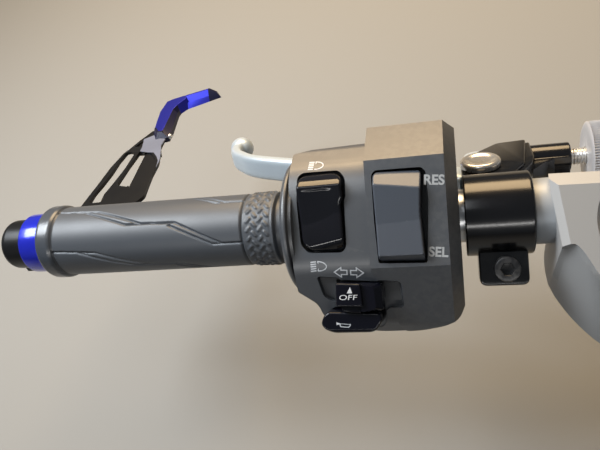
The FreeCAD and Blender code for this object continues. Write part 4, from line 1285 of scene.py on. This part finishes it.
def make_pinch_bolts():
    """Socket bolts of the perch and the fork clamp."""
    add("perch_bolt", socket_bolt(7.1, 12.6, -9.0, (-53.5, -PERCH_R - 5.0)), FACE, BLACK_STEEL,
        replaces=["perch_pinch_bolt"])
    turn, origin = FORK
    sideways = (turn[:, [1, 2, 0]], origin)
    add("clamp_bolt", socket_bolt(8.1, 14.1, -12.0, LUG_BOLT), sideways, BLACK_STEEL,
        replaces=["fork_pinch_bolt"])


# Clutch lever

BLADE_LINE = [(-66.0, 30.5), (-76.0, 36.5), (-88.0, 42.5), (-102.0, 47.5), (-113.5, 50.6),
              (-125.0, 53.5), (-138.0, 56.6), (-151.0, 59.9), (-159.5, 62.9), (-167.5, 66.3),
              (-175.0, 69.6), (-181.0, 72.7), (-186.5, 76.4), (-192.0, 81.8), (-196.0, 86.2),
              (-198.8, 91.2), (-200.4, 96.8), (-200.6, 103.0)]
# Half width, half height and middle height at the points of the line that are named
BLADE_HALF = [(0, 6.4), (1, 5.2), (2, 4.4), (3, 3.9), (4, 3.7), (7, 3.4), (9, 3.3), (17, 3.3)]
BLADE_TALL = [(0, 3.9), (1, 4.2), (2, 6.3), (3, 6.7), (10, 6.7), (12, 6.5), (15, 5.9),
              (16, 5.6), (17, 5.2)]
BLADE_LIFT = [(0, 3.0), (1, 3.0), (3, 2.75), (17, 2.9)]
HUB_LOW, HUB_HIGH = -1.0, 7.0
HUB_R, BUSH_R, BUSH_BORE = 8.0, 5.2, 4.3
CABLE_ARM_R, NIPPLE_R, CABLE_SLOT = 6.6, 3.1, 1.3
BALL, BALL_MIDDLE, BALL_TALL, BALL_R = (-200.5, 106.5), 3.0, 7.0, 7.2


def along_blade(table, count):
    """Values of a table spread evenly over the blade's line."""
    place, value = np.array(table, float).T
    return np.interp(np.linspace(0, len(BLADE_LINE) - 1, count), place, value)


def cable_arm_outline():
    """Arm that widens to a round end, with a round seat for the nipple open to the right."""
    (x, y), w = PIVOT, CABLE[0]
    end, seat = np.linspace(0.2, np.pi - 0.2, 16), np.linspace(0.45, 2 * np.pi - 0.45, 18)
    return np.concatenate([
        [(x - 7.4, y + 4)],
        np.column_stack([x - CABLE_ARM_R * np.cos(end), w + CABLE_ARM_R * np.sin(end)]),
        [(x + CABLE_ARM_R, w + CABLE_SLOT), (x + NIPPLE_R, w + CABLE_SLOT)],
        np.column_stack([x + NIPPLE_R * np.cos(seat), w + NIPPLE_R * np.sin(seat)]),
        [(x + NIPPLE_R, w - CABLE_SLOT), (x + CABLE_ARM_R, w - CABLE_SLOT), (x + 7.0, y + 4)]])


def make_lever():
    """Blade carried along its curve, ball at the end, hub and slotted cable arm; the bush."""
    count = 170
    blade = carried(smooth_path(BLADE_LINE, count), along_blade(BLADE_HALF, count),
                    along_blade(BLADE_TALL, count), along_blade(BLADE_LIFT, count))
    t = np.linspace(-np.pi / 2, np.pi / 2, 25)
    ball = turned(np.column_stack([BALL_MIDDLE + BALL_TALL * np.sin(t),
                                   np.maximum(BALL_R * np.cos(t), 0.0)]),
                  around="z", centre=BALL, sides=48)
    hub = slab(circle(PIVOT, HUB_R, 48), HUB_LOW, HUB_HIGH, (0.4, 0.4),
               [circle(PIVOT, BUSH_R + 0.1, 48)])
    arm = slab(cable_arm_outline(), HUB_LOW, HUB_HIGH, (0.3, 0.3), steps=3)
    add("lever_blade", together(blade, ball, hub, arm), LEVER, LEVER_SILVER,
        body=MOVING, replaces=["clutch_lever"])
    bush = turned([(HUB_LOW, BUSH_BORE), (HUB_LOW, BUSH_R), (HUB_HIGH, BUSH_R),
                   (HUB_HIGH, BUSH_BORE)], around="z", centre=PIVOT, sides=48)
    add("hub_bush", bush, LEVER, BRONZE, body=MOVING, replaces=["lever_bush"])


# Fork clamp and bar

# Radii of the ring, the fork tube and the neck round the bar; half the clamp's height
CLAMP_R, FORK_R, NECK_R, CLAMP_HALF = 32.0, 20.5, 13.35, 19.0
FRONT_FLAT = 26.3         # the ring's front is cut flat here
# Left wall and foot of the casting seen along the fork, at its top and at its bottom
LEFT_HIGH = [(-38.6, 21.2), (-36.0, -7.7)]
LEFT_LOW = [(-29.0, 21.2), (-28.5, 8.8), (-30.6, 2.7), (-32.5, -4.7), (-34.1, -10.8),
            (-34.3, -16.0), (-33.4, -20.1)]
FOOT_HIGH = [(-36.0, -7.7), (-32.8, -7.8), (-29.9, -10.4), (-26.9, -15.2), (-24.0, -19.8),
             (-17, -26.2), (-8, -30.4), (6, -30.9), (14, -28.8), (22.5, -22.6), (27.7, -16.0)]
FOOT_LOW = [(-33.4, -20.1), (-30.5, -26.4), (-24.1, -35.8), (-15.5, -44.5), (-8, -48.0),
            (0, -49.0), (8, -48.0), (15, -43.5), (21, -35.0), (25, -25), (27.7, -16.0)]
LUG_BOLT = (-38.5, -11.0)
BEVEL_START = 4.5         # the bevelled front starts this far under the top
LEFT_STEPS, FOOT_STEPS = 30, 120
BAR_FIT = 0.1             # clearance round the bar


def line_between(start, end, count):
    """Points from a start to just before an end."""
    share = np.arange(count)[:, None] / count
    return np.array(start, float) * (1 - share) + np.array(end, float) * share


def clamp_outline(low, front, side):
    """Outline of the casting at one height: left wall, flared foot, ring and front. low is
    the share of the lower outline, front how far the front bevel has come in, 0 to 1, and
    side the same for the bevel on the left."""
    left = (smooth_path(LEFT_LOW, LEFT_STEPS + 1)[:-1] * low
            + line_between(*LEFT_HIGH, LEFT_STEPS) * (1 - low))
    foot = (smooth_path(FOOT_LOW, FOOT_STEPS + 1)[:-1] * low
            + smooth_path(FOOT_HIGH, FOOT_STEPS + 1)[:-1] * (1 - low))
    flat = FRONT_FLAT - 2.0 * front
    first, last = math.atan2(FOOT_LOW[-1][1], FOOT_LOW[-1][0]), math.asin(flat / CLAMP_R)
    turn = np.linspace(first, last, 61)[:-1]
    radius = CLAMP_R - 0.5 * front
    ring = np.column_stack([radius * np.cos(turn), radius * np.sin(turn)])
    edge = (radius * math.cos(last), flat)
    knee = (-8.0 - 1.5 * front, flat)
    step = (-17.0 - 2.0 * front, 21.2 - 5.7 * front)
    corner = (left[0, 0] + 2.6 * side, step[1])
    left = left + np.array([1.0, 0.0]) * side * np.linspace(2.6, 2.4, LEFT_STEPS)[:, None]
    left[:, 1] = np.linspace(corner[1], left[-1, 1] + 0.5 * side, LEFT_STEPS)
    foot = foot + np.array([2.4, 0.6]) * side * np.linspace(1, 0, FOOT_STEPS)[:, None] ** 6
    return np.concatenate([left, foot, ring, line_between(edge, knee, 12),
                           line_between(knee, step, 6), line_between(step, corner, 16)])


def make_clamp():
    """Casting in one shell of outlines, one over the other, with bevels at its front and
    left; the turned neck round the bar; then the bore with its cone, the slot and the
    bolt's hole."""
    top = CLAMP_HALF
    levels = [(-top, 1.0, 0, 0), (-8.0, 0.7, 0, 0), (top - BEVEL_START, 0.055, 0.0, 0.0),
              (top - 2.6, 0.0, 1 - 2.6 / BEVEL_START, 0.0), (top, 0.0, 1.0, 1.0)]
    body = make_object("clamp_casting", between(
        [(clamp_outline(low, front, side), height) for height, low, front, side in levels]), FORK)
    neck = softened([(PERCH_IN + 0.2, BAR_R + BAR_FIT), (PERCH_IN + 0.2, NECK_R),
                     (-31.0, NECK_R), (-31.0, BAR_R + BAR_FIT)], 0.4, 4)
    add("clamp_neck", turned(neck, sides=112), STRAIGHT, NECK_METAL)
    bore = turned([(-30, 0.0), (-30, FORK_R), (top - 3.2, FORK_R), (top + 1.0, FORK_R + 4.2),
                   (top + 1.0, 0.0)], around="z", sides=144)
    slot = [(-1.25, -60), (1.25, -60), (1.25, -15), (-1.25, -15)]
    y, z = LUG_BOLT
    hole = turned([(-13, 0.0), (-13, 3.1), (8, 3.1), (8, 5.3), (28, 5.3), (28, 0.0)],
                  centre=(y, z), sides=48)
    combine(body, [make_object("fork_bore", bore, FORK),
                   cutter("slot", slot, -40, 40, 0.1, FORK),
                   make_object("bolt_hole", hole, FORK),
                   make_object("bar_bore", rod_shell(-60, -28.1, BAR_R + BAR_FIT), STRAIGHT)],
            "DIFFERENCE")
    ease_edges(body, 0.45, angle=24)
    flat_faces(body)
    dress(body, CAST_SILVER, replaces=["fork_clamp"])


def make_bar():
    """Plain tube with a turned finish."""
    tube = softened([(GRIP_OUT, 8.2), (GRIP_OUT, BAR_R), (-28.2, BAR_R), (-28.2, 8.2)], 0.5, 4)
    add("bar_tube", turned(tube, sides=96), STRAIGHT, MACHINED,
        replaces=["handlebar_tube"])


def dress_the_rest():
    """Finishes for the CAD nodes that stay."""
    for node, material in (("bar_end_plug", SOFT_RUBBER), ("passing_trigger", CASE_PLASTIC),
                           ("harness_grommet", SOFT_RUBBER), ("clutch_switch", CASE_PLASTIC)):
        piece = frame["nodes"][node]
        piece.data.materials.clear()
        piece.data.materials.append(material)


# Floor, light and camera

FLOOR_COLOUR = (0.31, 0.31, 0.30)
FLOOR_SHADE = (0.08, 0.08, 0.09)   # the floor as it lights the part from below
WORLD_COLOUR, WORLD_LEVEL = (0.86, 0.93, 1.0), 0.14


def make_stage():
    """Plain pale floor under the part and a pale world."""
    floor = bpy.data.meshes.new("floor")
    size, height = 6.0, cad_box[0].z - 0.09
    floor.from_pydata([(-size, -size, height), (size, -size, height), (size, size, height),
                       (-size, size, height)], [], [(0, 1, 2, 3)])
    floor = bpy.data.objects.new("floor", floor)
    bpy.context.scene.collection.objects.link(floor)
    pale = bpy.data.materials.new("pale_floor")
    pale.use_nodes = True
    tree = pale.node_tree
    shader = tree.nodes["Principled BSDF"]
    shader.inputs["Roughness"].default_value = 0.9
    seen, either = new_nodes(tree, "LightPath", "Math")
    either.operation = "MAXIMUM"
    wire(tree, (seen.outputs["Is Camera Ray"], either.inputs[0]),
         (seen.outputs["Is Glossy Ray"], either.inputs[1]),
         (mixed(tree, either.outputs[0], FLOOR_SHADE, FLOOR_COLOUR),
          shader.inputs["Base Color"]))
    floor.data.materials.append(pale)
    world = bpy.data.worlds.new("studio")
    bpy.context.scene.world = world
    world.use_nodes = True
    sky = world.node_tree.nodes["Background"]
    sky.inputs["Color"].default_value = (*WORLD_COLOUR, 1)
    sky.inputs["Strength"].default_value = WORLD_LEVEL


def lamp(name, place, aim, size, power, colour, diffuse=True):
    """Soft lamp of a width and height in metres that looks at a point; places in
    millimetres of the face's frame, its width along the bar. Without diffuse it only
    shows as a reflection."""
    data = bpy.data.lights.new(name, "AREA")
    data.shape, data.energy, data.color = "RECTANGLE", power, colour
    data.size, data.size_y = size
    light = bpy.data.objects.new(name, data)
    turn, origin = FACE
    start = (np.array(place, float) @ turn.T + origin) * MM
    end = (np.array(aim, float) @ turn.T + origin) * MM
    back = (start - end) / np.linalg.norm(start - end)
    across = np.array([1.0, 0, 0]) - back[0] * back
    across /= np.linalg.norm(across)
    matrix = np.eye(4)
    matrix[:3, :3] = np.stack([across, np.cross(back, across), back], 1)
    matrix[:3, 3] = start
    light.matrix_world = Matrix(matrix.tolist())
    light.visible_diffuse = diffuse
    bpy.context.scene.collection.objects.link(light)


# The camera of the photo, in the face's frame: 250 mm above the point of the bar axis
# at CAMERA_X, looking a little to the left, its picture 600 wide with a focal length of 573
CAMERA_X, CAMERA_RISE, FOCAL, WIDTH = -71.0, 250.0, 573.0, 600.0
CAMERA_RIGHT = (0.96191, -0.06389, -0.26580)
CAMERA_DOWN = (-0.06219, -0.99795, 0.01480)


def make_camera():
    """Camera at the photograph's viewpoint."""
    data = bpy.data.cameras.new("camera")
    data.sensor_width = 36.0
    data.lens = FOCAL / WIDTH * data.sensor_width
    data.clip_start, data.clip_end = 0.01, 50
    camera = bpy.data.objects.new("camera", data)
    turn, origin = FACE
    right, down = np.array(CAMERA_RIGHT), np.array(CAMERA_DOWN)
    right /= np.linalg.norm(right)
    down -= right * (right @ down)
    down /= np.linalg.norm(down)
    back = np.cross(right, -down)
    place = (turn @ np.array([CAMERA_X, 0.0, CAMERA_RISE]) + origin) * MM
    matrix = np.eye(4)
    matrix[:3, :3] = turn @ np.stack([right, -down, back], 1)
    matrix[:3, 3] = place
    camera.matrix_world = Matrix(matrix.tolist())
    bpy.context.scene.collection.objects.link(camera)
    bpy.context.scene.camera = camera


for make in (make_grip, make_bar_end, make_guard, make_hook, make_case_rear, make_case_front,
             make_rockers, make_turn_switch, make_markings, make_perch, make_adjuster,
             make_pivot, make_pinch_bolts, make_lever, make_clamp, make_bar, dress_the_rest,
             make_stage):
    make()
lamp("warm_front", (-110, 1000, 130), (-110, 0, 0), (0.85, 0.55), 13.5, (1.0, 0.72, 0.41))
lamp("cool_left", (-540, 360, 390), (-150, 0, 0), (0.34, 0.28), 5.6, (0.88, 0.94, 1.0))
lamp("cool_top", (-218, 268, 460), (-240, 94, -115), (0.22, 0.22), 0.36, (0.92, 0.96, 1.0))
lamp("thin_top", (-100, -330, 560), (-100, 0, 0), (1.0, 0.025), 1.5, (1.0, 0.98, 0.95), False)
make_camera()
bpy.context.scene.view_settings.view_transform = "Standard"
